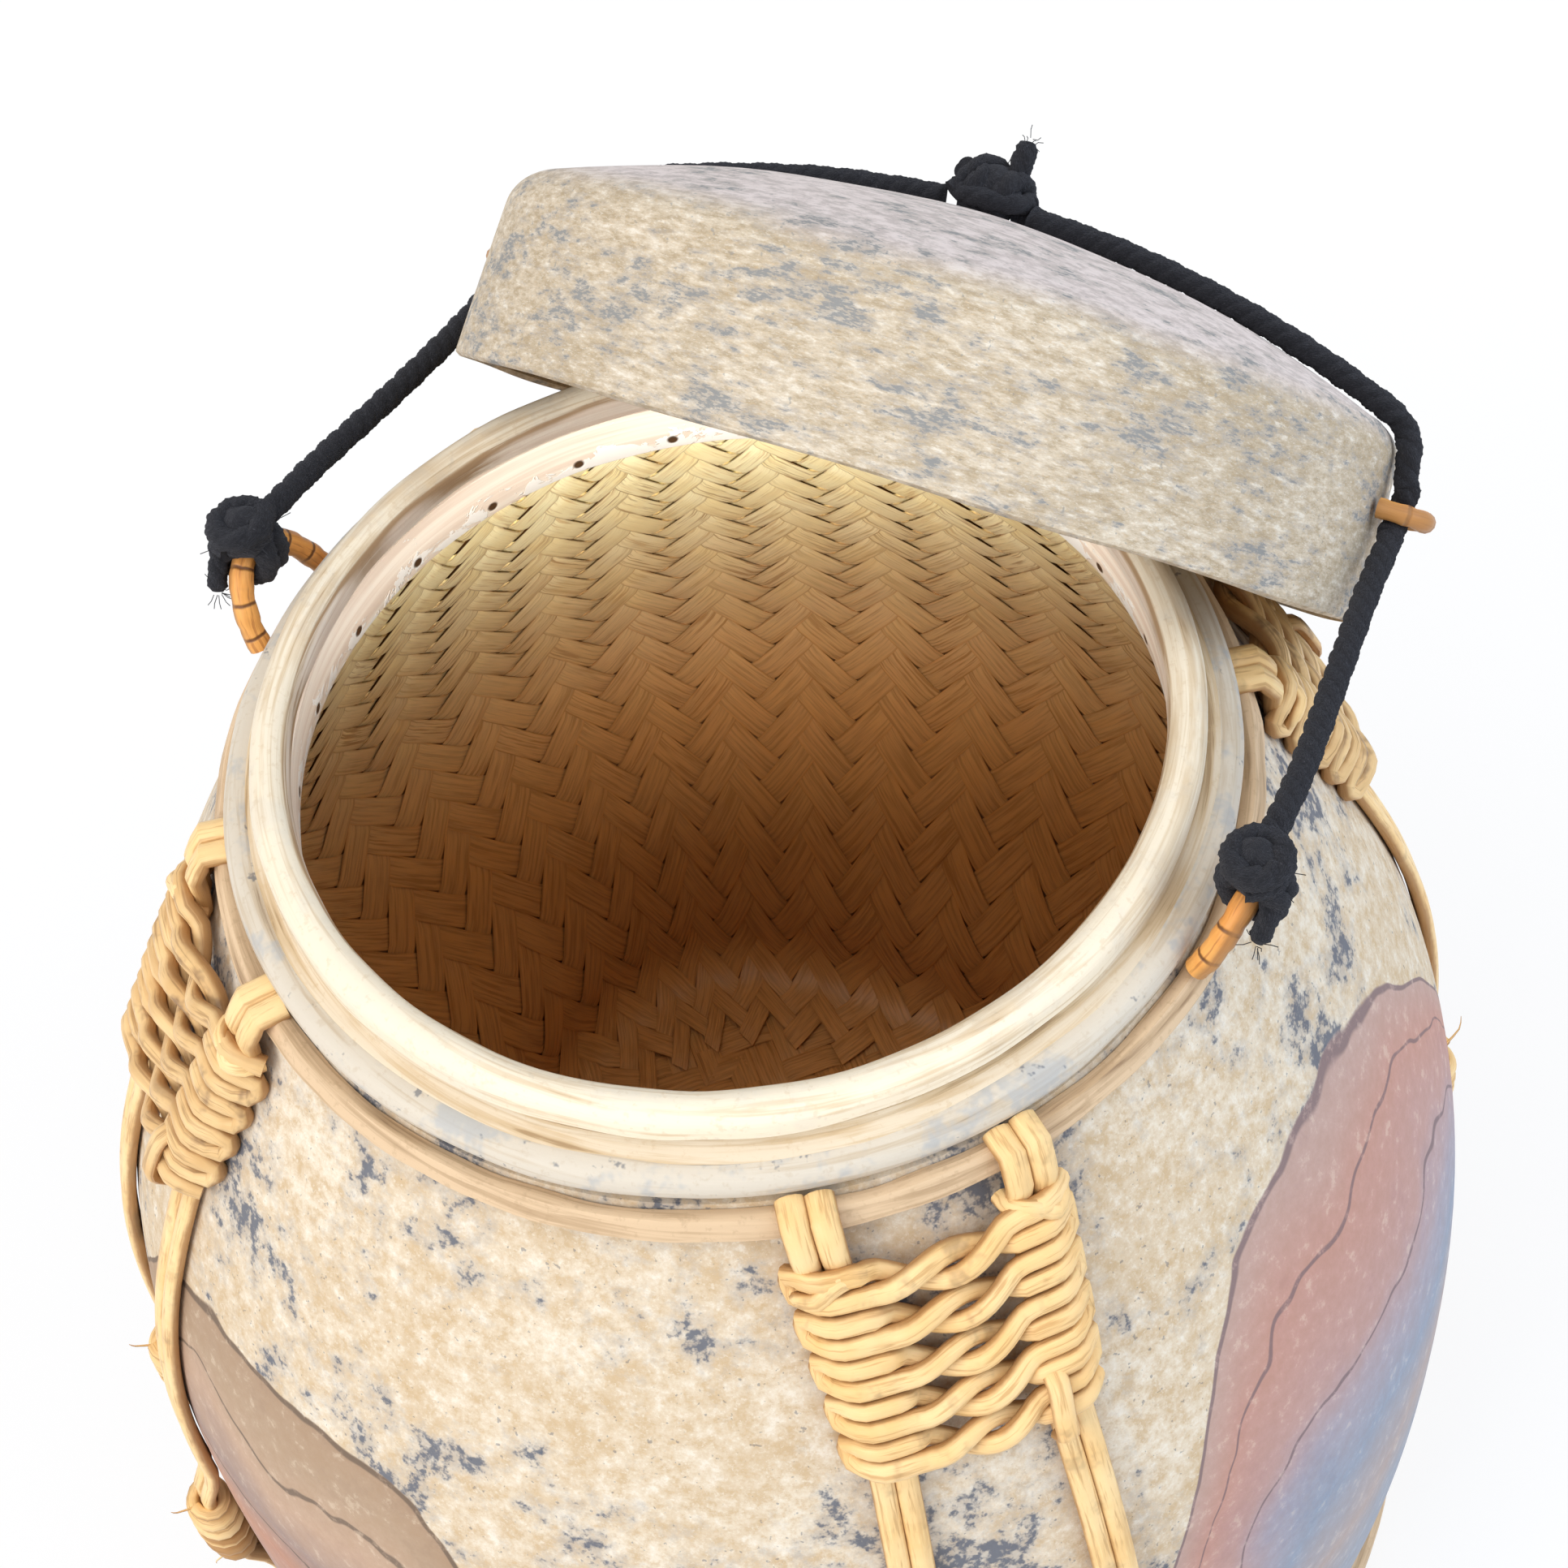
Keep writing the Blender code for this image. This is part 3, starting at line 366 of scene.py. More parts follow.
def give(mesh: bpy.types.Mesh, uv: np.ndarray, **values: np.ndarray) -> None:
    """Give a mesh its UV map and its named values.

    Args:
        mesh: The mesh.
        uv: A (u, v) row for each vertex.
        **values: A value for each vertex, by name.
    """
    corner = np.empty(len(mesh.loops), int)
    mesh.loops.foreach_get("vertex_index", corner)
    layer = mesh.uv_layers.active or mesh.uv_layers.new(name="strip")
    layer.data.foreach_set("uv", uv[corner].ravel())
    for name, column in values.items():
        mesh.attributes.new(name, "FLOAT", "POINT").data.foreach_set("value", column)


def turned(name: str, outline: Outline, steps: int = ROUND, where: Matrix | None = None,
           rough: Size | None = None) -> Piece:
    """Turned piece: a circle laid out as the closed outline, then spun round the axis.

    Args:
        name: Name of the piece.
        outline: Closed outline of (radius, z) points.
        steps: Steps round the axis.
        where: Where its own frame goes, if not the pot's.
        rough: Amount, size and seed of its roughness, if any.

    Returns:
        The new piece.
    """
    piece = primitive("circle", name, vertices=len(outline), radius=0.01)
    move_to(piece, np.array([(radius, 0.0, z) for radius, z in outline]))
    edit(piece, lambda: bpy.ops.mesh.spin(steps=steps, angle=TURN, center=ORIGIN, axis=(0.0, 0.0, 1.0)), weld)
    if where is not None:
        piece.data.transform(where)
    smooth_shade(piece)
    if rough is not None:
        roughen(piece, *rough)
    return piece


def roughen(piece: Piece, amount: float, size: float, seed: float) -> None:
    """Move a piece's surface in and out by a soft noise, as handwork leaves it.

    Args:
        piece: The piece.
        amount: Largest move.
        size: Size of the bumps.
        seed: Shift of the noise.
    """
    normals = np.array([vertex.normal for vertex in piece.data.vertices])
    points = coordinates(piece)
    shift = [noise.noise(Vector(point) / size + Vector((seed, 0.0, 0.0))) for point in points]
    move_to(piece, points + normals * (np.array(shift) * amount)[:, None])


def oval(width: float, height: float, sides: int) -> Outline:
    """Oval section, as (sideways, up) points."""
    return [(width / 2.0 * math.cos(angle), height / 2.0 * math.sin(angle)) for angle in around(sides, sides)]


def path_frames(points: np.ndarray,
                up: Callable[[np.ndarray], np.ndarray] | None) -> tuple[np.ndarray, np.ndarray]:
    """Sideways and up directions along a path.

    Args:
        points: Path points as rows.
        up: Gives the wanted up direction at a point; without it, up is carried along the path.

    Returns:
        Arrays of sideways and up directions.
    """
    along = np.gradient(points, axis=0)
    along /= np.linalg.norm(along, axis=1)[:, None]
    last = np.array([0.0, 0.0, 1.0]) if abs(along[0][2]) < 0.9 else np.array([0.0, 1.0, 0.0])
    ups = []
    for point, forward in zip(points, along):
        wanted = up(point) if up is not None else last
        last = wanted - forward * np.dot(wanted, forward)
        last /= np.linalg.norm(last)
        ups.append(last)
    return np.cross(along, ups), np.array(ups)


@dataclass
class Strand:
    """A cane, strip or cord laid along a path."""

    section: Outline
    scale: Callable[[float], float] = lambda share: 1.0      # of the section, by share of the length
    twist: float = 0.0                                       # turns of the section per metre
    up: Callable[[np.ndarray], np.ndarray] | None = None
    seed: float = 0.0

    def lay(self, name: str, points: Sequence[Vector], spacing: float | None = None) -> Piece:
        """Sweep the section along a path, from a grid that is wrapped round it.

        Args:
            name: Name of the piece.
            points: The path's points.
            spacing: About how far apart points of a smooth path through them are, if it is to be smooth.

        Returns:
            The new piece, closed at both ends, with a UV map of centimetres round and along it.
        """
        if spacing:
            points = curve_through(points, spacing)
        path = np.array([tuple(point) for point in points], float)
        sides, steps = len(self.section), len(path) - 1
        sideways, ups = path_frames(path, self.up)
        length = np.concatenate([[0.0], np.cumsum(np.linalg.norm(np.diff(path, axis=0), axis=1))])
        piece = primitive("grid", name, x_subdivisions=sides, y_subdivisions=steps, size=1.0)
        flat = coordinates(piece)
        column = np.rint((flat[:, 0] + 0.5) * sides).astype(int)
        row = np.rint((flat[:, 1] + 0.5) * steps).astype(int)
        section = np.array(self.section + [self.section[0]])
        turn = TURN * self.twist * length[row]
        size = np.array([self.scale(share) for share in length / length[-1]])
        across = section[column, 0] * np.cos(turn) - section[column, 1] * np.sin(turn)
        upward = section[column, 0] * np.sin(turn) + section[column, 1] * np.cos(turn)
        move_to(piece, path[row] + sideways[row] * (across * size[row])[:, None]
                + ups[row] * (upward * size[row])[:, None])
        girth = np.linalg.norm(np.diff(section, axis=0), axis=1).sum()
        give(piece.data, np.stack([column / sides * girth * 100.0, length[row] * 100.0 + self.seed], 1),
             crest=section[column, 1] / np.abs(section[:, 1]).max())
        edit(piece, weld, cap, weld)
        smooth_shade(piece, 50.0)
        return piece


def curve_through(points: Sequence[Vector | tuple], spacing: float) -> list[Vector]:
    """Smooth path through points.

    Args:
        points: Points that the path passes through.
        spacing: About how far apart the path's points are.

    Returns:
        The path's points.
    """
    knots = [Vector(point) for point in points]
    ends = [knots[0] * 2.0 - knots[1]] + knots + [knots[-1] * 2.0 - knots[-2]]
    path = []
    for before, start, end, after in zip(ends, ends[1:], ends[2:], ends[3:]):
        steps = max(int((end - start).length / spacing), 1)
        for t in (step / steps for step in range(steps)):
            path.append(0.5 * (2.0 * start + (end - before) * t
                               + (2.0 * before - 5.0 * start + 4.0 * end - after) * t * t
                               + (3.0 * start - before - 3.0 * end + after) * t ** 3))
    return path + [knots[-1]]


def place(piece: Piece, body: Body, slot: str, finish: Finish, *nodes: str) -> None:
    """Put a piece on its body, in its finish.

    Args:
        piece: The piece.
        body: The body that it moves with.
        slot: Not used.
        finish: Its finish.
        *nodes: Nodes of the frame that it stands for.
    """
    piece.data.materials.clear()
    piece.data.materials.append(finish.value.material())
    if nodes:
        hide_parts(*nodes)
    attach(piece, body.value)
    LOG.info("%s: %d faces on %s", piece.name, len(piece.data.polygons), body.value)


# Shading tools


def toned(colour: Colour, share: float) -> Colour:
    """A colour, darker or lighter."""
    return tuple(min(1.0, share * value) for value in colour)


def blended(first: Colour, second: Colour, share: float) -> Colour:
    """Two colours mixed, with a share of the second."""
    return tuple((1.0 - share) * a + share * b for a, b in zip(first, second))


@dataclass
class Term:
    """Output of a node. Arithmetic on it adds Math nodes."""

    shader: Shader
    socket: bpy.types.NodeSocket

    def math(self, operation: str, other: object = 0.0) -> Term:
        """Result of a Math node."""
        return self.shader.term("ShaderNodeMath", {0: self, 1: other}, operation=operation)

    def __add__(self, other: object) -> Term:
        """Sum."""
        return self.math("ADD", other)

    def __sub__(self, other: object) -> Term:
        """Difference."""
        return self.math("SUBTRACT", other)

    def __mul__(self, other: object) -> Term:
        """Product."""
        return self.math("MULTIPLY", other)

    def reach(self, other: Term) -> Term:
        """Distance from the origin, of a point with this and another coordinate."""
        return (self * self + other * other).math("SQRT")

    def step(self, low: float, high: float, most: float = 1.0, least: float = 0.0) -> Term:
        """Value eased from its range, low to high, to the range least to most, and held at its ends."""
        return self.shader.term("ShaderNodeMapRange", {"Value": self, "From Min": low, "From Max": high,
                                                       "To Min": least, "To Max": most},
                                interpolation_type="SMOOTHSTEP")


class Shader:
    """Node tree of one finish or of the world, with its colour laid on in coats."""

    def __init__(self, name: str, world: bpy.types.World | None = None) -> None:
        """Start with a plain Principled shader, or with a world's background."""
        self.owner = world or bpy.data.materials.new(name)
        self.owner.use_nodes = True
        self.tree = self.owner.node_tree
        self.base = self.tree.nodes["Background" if world else "Principled BSDF"]
        self.colour: Term | Colour = WHITE
        if world is None:
            self.set_base({"Specular IOR Level": 0.3})

    def set_base(self, inputs: dict) -> None:
        """Set or link inputs of the main shader."""
        for key, value in inputs.items():
            self.feed(self.base.inputs[key], value)

    def term(self, kind: str, inputs: dict | None = None, output: int | str = 0, **settings: object) -> Term:
        """Add a node.

        Args:
            kind: Node type.
            inputs: Values or terms by input name or index.
            output: Name or index of the output that is wanted.
            **settings: Attributes of the node.

        Returns:
            The new node's output.
        """
        node = self.tree.nodes.new(kind)
        for key, value in settings.items():
            setattr(node, key, value)
        for key, value in (inputs or {}).items():
            self.feed(node.inputs[key], value)
        return Term(self, node.outputs[output])

    def feed(self, socket: bpy.types.NodeSocket, value: object) -> None:
        """Link a socket or set its value."""
        if isinstance(value, Term):
            self.tree.links.new(value.socket, socket)
        elif isinstance(value, tuple) and socket.type == "RGBA":
            socket.default_value = (*value, 1.0)
        else:
            socket.default_value = value

    def coords(self, kind: str = "Object") -> Term:
        """Texture coordinates, Object or UV."""
        return self.term("ShaderNodeTexCoord", output=kind)

    def mapped(self, scale: Size, rotation: Size = ORIGIN, location: Size = ORIGIN) -> Term:
        """Object coordinates, scaled, turned and moved."""
        return self.term("ShaderNodeMapping", {"Vector": self.coords(), "Location": location,
                                               "Rotation": rotation, "Scale": scale})

    def noise(self, vector: Term, scale: float, detail: float = 2.0, rough: float = 0.5,
              distortion: float = 0.0) -> Term:
        """Noise value."""
        return self.term("ShaderNodeTexNoise", {"Vector": vector, "Scale": scale, "Detail": detail,
                                                "Roughness": rough, "Distortion": distortion})

    def attribute(self, name: str) -> Term:
        """Value of the mesh under a name."""
        return self.term("ShaderNodeAttribute", output="Fac", attribute_name=name)

    def mix(self, share: object, first: object, second: object) -> Term:
        """Mixed colour."""
        return self.term("ShaderNodeMix", {0: share, 6: first, 7: second}, 2, data_type="RGBA")

    def ramp(self, value: Term, stops: Sequence[tuple[float, Colour]]) -> Term:
        """Colour ramp."""
        ramp = self.term("ShaderNodeValToRGB", {0: value})
        elements = ramp.socket.node.color_ramp.elements
        while len(elements) < len(stops):
            elements.new(0.5)
        for element, (position, colour) in zip(elements, stops):
            element.position = position
            element.color = (*colour, 1.0)
        return ramp

    def split(self, vector: Term) -> tuple[Term, Term, Term]:
        """X, Y and Z of a vector."""
        node = self.term("ShaderNodeSeparateXYZ", {0: vector}).socket.node
        return tuple(Term(self, socket) for socket in node.outputs)

    def join(self, x: object, y: object, z: object = 0.0) -> Term:
        """Vector from three values."""
        return self.term("ShaderNodeCombineXYZ", {0: x, 1: y, 2: z})

    def ringed(self, vector: Term, along: float, across: float) -> Term:
        """Coordinates whose noise runs in streaks round the axis.

        Args:
            vector: Object coordinates, centred on the axis.
            along: Scale round the axis.
            across: Scale of the radius and the height.

        Returns:
            The new coordinates.
        """
        x, y, z = self.split(vector)
        radius = x.reach(y)
        return self.join(x * along + (z - radius) * (across * 0.6), y * along, (z + radius) * across)

    def seen(self) -> Term:
        """1 where the camera, a reflection or glass shows the surface."""
        rays = self.term("ShaderNodeLightPath").socket.node.outputs
        camera, glossy, clear = (Term(self, rays["Is %s Ray" % kind])
                                 for kind in ("Camera", "Glossy", "Transmission"))
        return camera.math("MAXIMUM", glossy.math("MAXIMUM", clear))

    def coat(self, share: object, colour: object) -> None:
        """Lay a colour over the colour so far, with a share."""
        self.colour = self.mix(share, self.colour, colour)

    def coats(self, *rows: tuple[Term, float, float, float, Colour]) -> None:
        """Lay colours over one another, each as a value goes from low to high, up to its largest share."""
        for value, low, high, most, colour in rows:
            self.coat(value.step(low, high, most), colour)

    def finish(self, roughness: float, height: Term, strength: float, distance: float) -> bpy.types.Material:
        """Connect colour and bump to the shader.

        Args:
            roughness: Roughness, the same all over.
            height: Height for the bump.
            strength: Strength of the bump.
            distance: Depth of the bump.

        Returns:
            The finished material.
        """
        bump = self.term("ShaderNodeBump", {"Strength": strength, "Distance": distance, "Height": height})
        self.set_base({"Base Color": self.colour, "Roughness": roughness, "Normal": bump})
        return self.owner


# Finishes


@dataclass(frozen=True)
class Hill:
    """One band of painted hills round the belly."""

    azimuth: float      # of a crest, in degrees
    count: float        # crests round the pot
    foot: float         # lowest height of its edge
    rise: float
    sharpness: float
    edge: Colour
    layers: tuple[tuple[float, Colour], ...]      # (depth in millimetres, colour)


HILLS = (
    Hill(92.0, 2.0, 0.020, 0.168, 2.2, (0.17, 0.12, 0.13),
         ((0.0, (0.52, 0.36, 0.32)), (18.0, (0.55, 0.29, 0.24)), (38.0, (0.52, 0.32, 0.30)),
          (56.0, (0.40, 0.36, 0.43)), (74.0, (0.29, 0.35, 0.46)), (96.0, (0.46, 0.38, 0.37)),
          (118.0, (0.34, 0.38, 0.46)))),
    Hill(200.0, 2.0, -0.004, 0.166, 1.7, (0.11, 0.08, 0.06),
         ((0.0, (0.39, 0.26, 0.17)), (12.0, (0.44, 0.31, 0.21)), (24.0, (0.53, 0.36, 0.26)),
          (38.0, (0.35, 0.25, 0.22)), (60.0, (0.51, 0.26, 0.18)), (95.0, (0.33, 0.31, 0.35)))),
    Hill(262.0, 3.0, -0.022, 0.100, 2.0, (0.10, 0.08, 0.10),
         ((0.0, (0.42, 0.41, 0.46)), (18.0, (0.33, 0.35, 0.43)), (34.0, (0.58, 0.34, 0.25)),
          (60.0, (0.48, 0.39, 0.42)), (100.0, (0.34, 0.29, 0.30)))),
)
LAYERS_DEEP = 120.0                                                   # in millimetres, of a hill's ramp
INK_LINES = ((0.0, 0.0011), (0.017, 0.0007), (0.043, 0.0008))         # depth and half width of each line


@dataclass(frozen=True)
class PaintedPaper:
    """Mottled paint over paper: cream and ochre with soft indigo blotches."""

    name: str
    base: Colour
    warm: Colour
    blotch_size: float
    blotch_share: float              # higher is more
    blotch: Colour = (0.085, 0.105, 0.150)
    streaks: float = 1.0             # above 1, the pattern runs along the rings
    hills: bool = False
    turn: float = 0.0                # of a tilted piece, about +X
    centre: Size = ORIGIN
    crown: Colour | None = None      # colour of the top, above the change
    change: float = 0.0              # height where the top's colour takes over

    @functools.cache
    def material(self) -> bpy.types.Material:
        """Build the finish at its first use."""
        shader = Shader(self.name)
        shift = tuple(-(Matrix.Rotation(self.turn, 3, "X") @ Vector(self.centre)))
        here = shader.mapped(WHITE, (self.turn, 0.0, 0.0), shift)
        x, y, z = shader.split(here)
        soft = shader.join(x, y, z * self.streaks)
        broad = shader.noise(here, 22.0, 3.0, 0.55)
        grain = shader.noise(soft, 300.0, 5.0, 0.72)
        fine = shader.noise(soft, 1300.0, 3.0, 0.7)
        stain = shader.noise(soft, 115.0, 4.0, 0.6)
        shader.colour = self.base
        shader.coats((broad, 0.34, 0.68, 1.0, blended(self.base, self.warm, 0.45)),
                     (stain, 0.48, 0.68, 0.50, self.warm), (grain, 0.44, 0.66, 0.85, self.warm),
                     (grain, 0.48, 0.30, 0.60, Ink.CHALK.value), (fine, 0.54, 0.70, 0.40, Ink.OCHRE.value),
                     (fine, 0.45, 0.32, 0.35, Ink.CHALK.value))
        if self.crown is not None:
            level = z + (broad - 0.5) * 0.006
            top = shader.mix(grain.step(0.42, 0.62), self.crown, toned(self.crown, 0.72))
            shader.coat(level.step(self.change, self.change + 0.006, 0.85), top)
        spread = shader.noise(soft, 0.30 / self.blotch_size)
        spots = shader.noise(soft, 1.15 / self.blotch_size, 5.0, 0.70)
        flecks = shader.noise(soft, 5.0 / self.blotch_size, 3.0, 0.6)
        where = spots + spread * 0.60
        edge = 1.055 - 0.22 * self.blotch_share
        shader.coat(where.step(edge - 0.12, edge + 0.05, 0.55), blended(self.base, Ink.SLATE.value, 0.5))
        dark = where.step(edge - 0.01, edge + 0.06) * flecks.step(0.40, 0.54, 1.0, 0.1)
        shader.coat(dark * 0.85, self.blotch)
        shader.coat(shader.noise(here, 900.0).step(0.67, 0.73, 0.5), self.blotch)
        if self.hills:
            self.paint_hills(shader, here, grain)
        return shader.finish(0.72, grain * 0.6 + fine * 0.25, 0.35, 0.00035)

    @staticmethod
    def paint_hills(shader: Shader, here: Term, grain: Term) -> None:
        """Paint plain rolling hills round the belly, each in wavy layers of muted colours.

        Args:
            shader: Shader that is being built.
            here: Object coordinates.
            grain: Noise that mottles the paint.
        """
        x, y, z = shader.split(here)
        azimuth = x.math("ARCTAN2", y)
        wobble = (shader.noise(here, 26.0, 3.0) - 0.5) * 0.020
        cloud = (shader.noise(here, 30.0) - 0.5) * 0.026
        mottle = grain.step(0.34, 0.66) * 0.16
        for hill in HILLS:
            swing = ((azimuth - math.radians(hill.azimuth)) * hill.count).math("COSINE")
            crest = swing.step(-1.0, 1.0).math("POWER", hill.sharpness) * hill.rise
            depth = crest + hill.foot + wobble - z
            layer = depth + cloud * depth.step(0.0, 0.02)
            fill = shader.ramp(layer.math("DIVIDE", LAYERS_DEEP / 1000.0),
                               [(at / LAYERS_DEEP, tone) for at, tone in hill.layers])
            fill = shader.mix(mottle, fill, Ink.BROWN.value)
            fill = shader.mix(grain.step(0.44, 0.32, 0.25), fill, Ink.CREAM.value)
            shader.coat(depth.step(0.0, 0.0007, 0.95), fill)
            for at, width in INK_LINES:
                line = ((layer if at else depth) - (at + width)).math("ABSOLUTE")
                inked = line.step(width, width * 0.4) * grain.step(0.34, 0.50, 0.75, 0.35)
                shader.coat(inked * depth.step(-0.0002, 0.0004), hill.edge)


@dataclass(frozen=True)
class RingPaint:
    """Paint on a bent hoop, worn in streaks along it."""

    name: str
    base: Colour
    worn: Colour
    deep: Colour
    wear: float
    grey: float = 0.0
    edge: float = 0.0                # radius of a worn line, if any

    @functools.cache
    def material(self) -> bpy.types.Material:
        """Build the finish at its first use."""
        shader = Shader(self.name)
        here = shader.coords()
        streak = shader.noise(shader.ringed(here, 26.0, 620.0), 1.0, 4.0, 0.62, 0.4)
        broad = shader.noise(here, 34.0, 3.0, 0.6)
        grain = shader.noise(here, 700.0, 3.0, 0.6)
        amount = streak + (broad - 0.5) * 0.55
        edge = 0.72 - 0.24 * self.wear
        shader.colour = self.base
        shader.coats((amount, edge - 0.10, edge + 0.08, 0.75, self.worn),
                     (amount, edge + 0.07, edge + 0.20, 0.75, self.deep), (grain, 0.55, 0.70, 0.35, self.worn))
        if self.grey > 0.0:
            shader.coats((shader.noise(here, 75.0, 4.0, 0.7), 0.50, 0.62, self.grey, (0.42, 0.44, 0.46)),
                         (shader.noise(here, 260.0, 3.0, 0.7), 0.64, 0.72, self.grey, Ink.INDIGO.value))
        if self.edge > 0.0:
            x, y, _ = shader.split(here)
            radius = x.reach(y)
            side = shader.mix(streak.step(0.35, 0.65), Ink.HOOP_PALE.value, Ink.HOOP_PINK.value)
            shader.coat(radius.step(self.edge + 0.0002, self.edge - 0.0004), side)
            line = (radius - self.edge).math("ABSOLUTE").step(0.0004, 0.0001)
            shader.coat(line * streak.step(0.38, 0.52, 0.9, 0.25), self.deep)
        return shader.finish(0.55, streak * 0.7 + grain * 0.3, 0.4, 0.0005)


@dataclass(frozen=True)
class HoopPaint:
    """Smooth inner hoop: pinkish wood with chipped white paint, small lashing holes near its lower edge whose
    dark insides are painted shade, and painted shade along that edge.
    """

    name: str
    low: float = 0.2225
    holes: int = 26

    @functools.cache
    def material(self) -> bpy.types.Material:
        """Build the finish at its first use."""
        shader = Shader(self.name)
        here = shader.coords()
        x, y, z = shader.split(here)
        streak = shader.noise(shader.ringed(here, 20.0, 500.0), 1.0, 3.0, 0.6, 0.3)
        shader.colour = Ink.HOOP_PALE.value
        shader.coat(streak.step(0.35, 0.65), Ink.HOOP_PINK.value)
        up = z - self.low
        chips = shader.noise(shader.join(x, y, z * 1.6), 130.0, 4.0, 0.7, 0.6)
        chipped = (chips + up.step(0.0085, 0.0015, 0.13, -0.10)).step(0.585, 0.605)
        shader.coat(chipped, (0.83, 0.80, 0.76))
        phase = (x.math("ARCTAN2", y) * (self.holes / TURN)).math("FRACT")
        away = (phase - 0.5).math("ABSOLUTE") * (0.14 * math.pi / self.holes)
        # Painted shade: dark spots that stand in for the shaded insides of the lashing holes.
        hole_shade = away.reach(up - 0.0026).step(0.0012, 0.0007)
        shader.coat(hole_shade, (0.07, 0.035, 0.015))
        # Painted shade: a thin darker band along the lower edge, where the hoop meets the weave.
        shader.coat(up.step(0.0007, 0.0002) * 0.6, (0.30, 0.19, 0.11))
        return shader.finish(0.5, chipped * 0.6 - hole_shade, 0.5, 0.0005)


@dataclass(frozen=True)
class SplitCane:
    """Cane or bamboo whose fibres run along it, read from the piece's own UV map in centimetres."""

    name: str
    light: Colour
    mid: Colour
    dark: Colour
    fibres: float                   # across a centimetre
    stretch: float                  # of the fibres' pattern along the piece
    nodes: float                    # strength of dark bands across it
    shadow: float                   # share of brown stains; above 0 it also paints shade on the sides of each strand, where rows meet
    roughness: float = 0.42
    tones: bool = False             # each strip has its own tone, plus a painted sheen that differs between the two directions, and painted shade along its edges
    deep_shade: Colour | None = None    # painted shade: the colour it darkens towards, deep inside the pot

    @functools.cache
    def material(self) -> bpy.types.Material:
        """Build the finish at its first use."""
        shader = Shader(self.name)
        u, v, _ = shader.split(shader.coords("UV"))
        stretched = shader.join(u, v * self.stretch)
        fibre = shader.noise(stretched, self.fibres, 3.0, 0.6)
        thick = shader.noise(stretched, self.fibres * 0.28, 2.0, 0.55)
        patch = shader.noise(shader.join(u * 0.3, v), 0.75, 3.0, 0.6)
        shader.colour = self.light
        shader.coats((patch, 0.32, 0.70, 1.0, self.mid), (thick, 0.52, 0.76, 0.42, self.dark),
                     (fibre, 0.52, 0.66, 0.60, self.dark), (fibre, 0.42, 0.28, 0.35, toned(self.light, 1.25)))
        height = fibre * -0.6 + thick * -0.5
        if self.tones:
            # Each strip's tone, which also carries a painted sheen difference between the two directions of
            # strips.
            tone = shader.attribute("strip_tone")
            shader.coats((tone, 0.55, 1.0, 0.75, self.mid), (tone, 0.22, 0.0, 0.45, (0.84, 0.72, 0.40)))
            cracks = fibre.step(0.52, 0.60) * (tone * 7.0).math("FRACT").step(0.74, 0.80)
            shader.coat(cracks * 0.45, Ink.BROWN.value)
            # Painted shade along each strip's edges, between neighbouring strips.
            shader.coat(shader.attribute("crest").step(0.26, 0.02, 0.55), (0.24, 0.12, 0.04))
        # Painted shade: darker and browner towards the bottom of the pot.
        if self.deep_shade is not None:
            level = shader.split(shader.coords())[2] + (patch - 0.5) * 0.03
            shader.coat(level.step(0.215, 0.085, 0.93),
                        shader.mix(fibre.step(0.40, 0.62), self.deep_shade, toned(self.deep_shade, 0.72)))
        if self.nodes > 0.0:
            ring = (v * 1.75 + thick * 0.12).math("FRACT")
            band = ring.step(0.40, 0.47) * ring.step(0.56, 0.50)
            shader.coat(band * self.nodes, (0.10, 0.035, 0.015))
            height = height - band * 0.5
        if self.shadow > 0.0:
            stain = shader.noise(shader.coords(), 160.0, 3.0, 0.6)
            # Painted shade: darker brown down the sides of each strand, in the hollows between rows.
            low = shader.attribute("crest") + (stain - 0.5) * 0.9
            shader.coats((stain, 0.56, 0.74, self.shadow, Ink.BROWN.value),
                         (low, 0.70, 0.0, 0.80, (0.40, 0.19, 0.065)))
        return shader.finish(self.roughness, height, 0.55, 0.0005)


@dataclass(frozen=True)
class CottonCord:
    """Black cotton: dull, with a short pale fuzz along its fibres."""

    name: str

    @functools.cache
    def material(self) -> bpy.types.Material:
        """Build the finish at its first use."""
        shader = Shader(self.name)
        u, v, _ = shader.split(shader.coords("UV"))
        fibre = shader.noise(shader.join(u * 2.4 + v * 2.0, (v - u) * 0.35), 22.0, 3.0, 0.7)
        lint = shader.noise(shader.coords(), 2400.0, 2.0, 0.6)
        shader.colour = (0.010, 0.010, 0.013)
        shader.coats((fibre, 0.45, 0.75, 1.0, (0.045, 0.045, 0.055)),
                     (lint, 0.64, 0.76, 0.5, (0.12, 0.12, 0.14)))
        shader.set_base({"Sheen Weight": 0.25, "Sheen Roughness": 0.6, "Sheen Tint": (0.35, 0.36, 0.42)})
        return shader.finish(0.95, fibre + lint * 0.5, 0.9, 0.0006)


@dataclass(frozen=True)
class PlainWood:
    """Bare wood with its grain along X."""

    name: str
    light: Colour = (0.42, 0.29, 0.17)
    dark: Colour = (0.22, 0.14, 0.08)

    @functools.cache
    def material(self) -> bpy.types.Material:
        """Build the finish at its first use."""
        shader = Shader(self.name)
        grain = shader.noise(shader.mapped((6.0, 90.0, 60.0)), 2.2, 5.0, 0.62, 0.5)
        pores = shader.noise(shader.mapped((40.0, 1400.0, 900.0)), 1.0)
        shader.colour = self.light
        shader.coats((grain, 0.35, 0.68, 1.0, self.dark), (pores, 0.60, 0.72, 0.5, toned(self.dark, 0.5)))
        return shader.finish(0.62, grain + pores, 0.4, 0.0004)


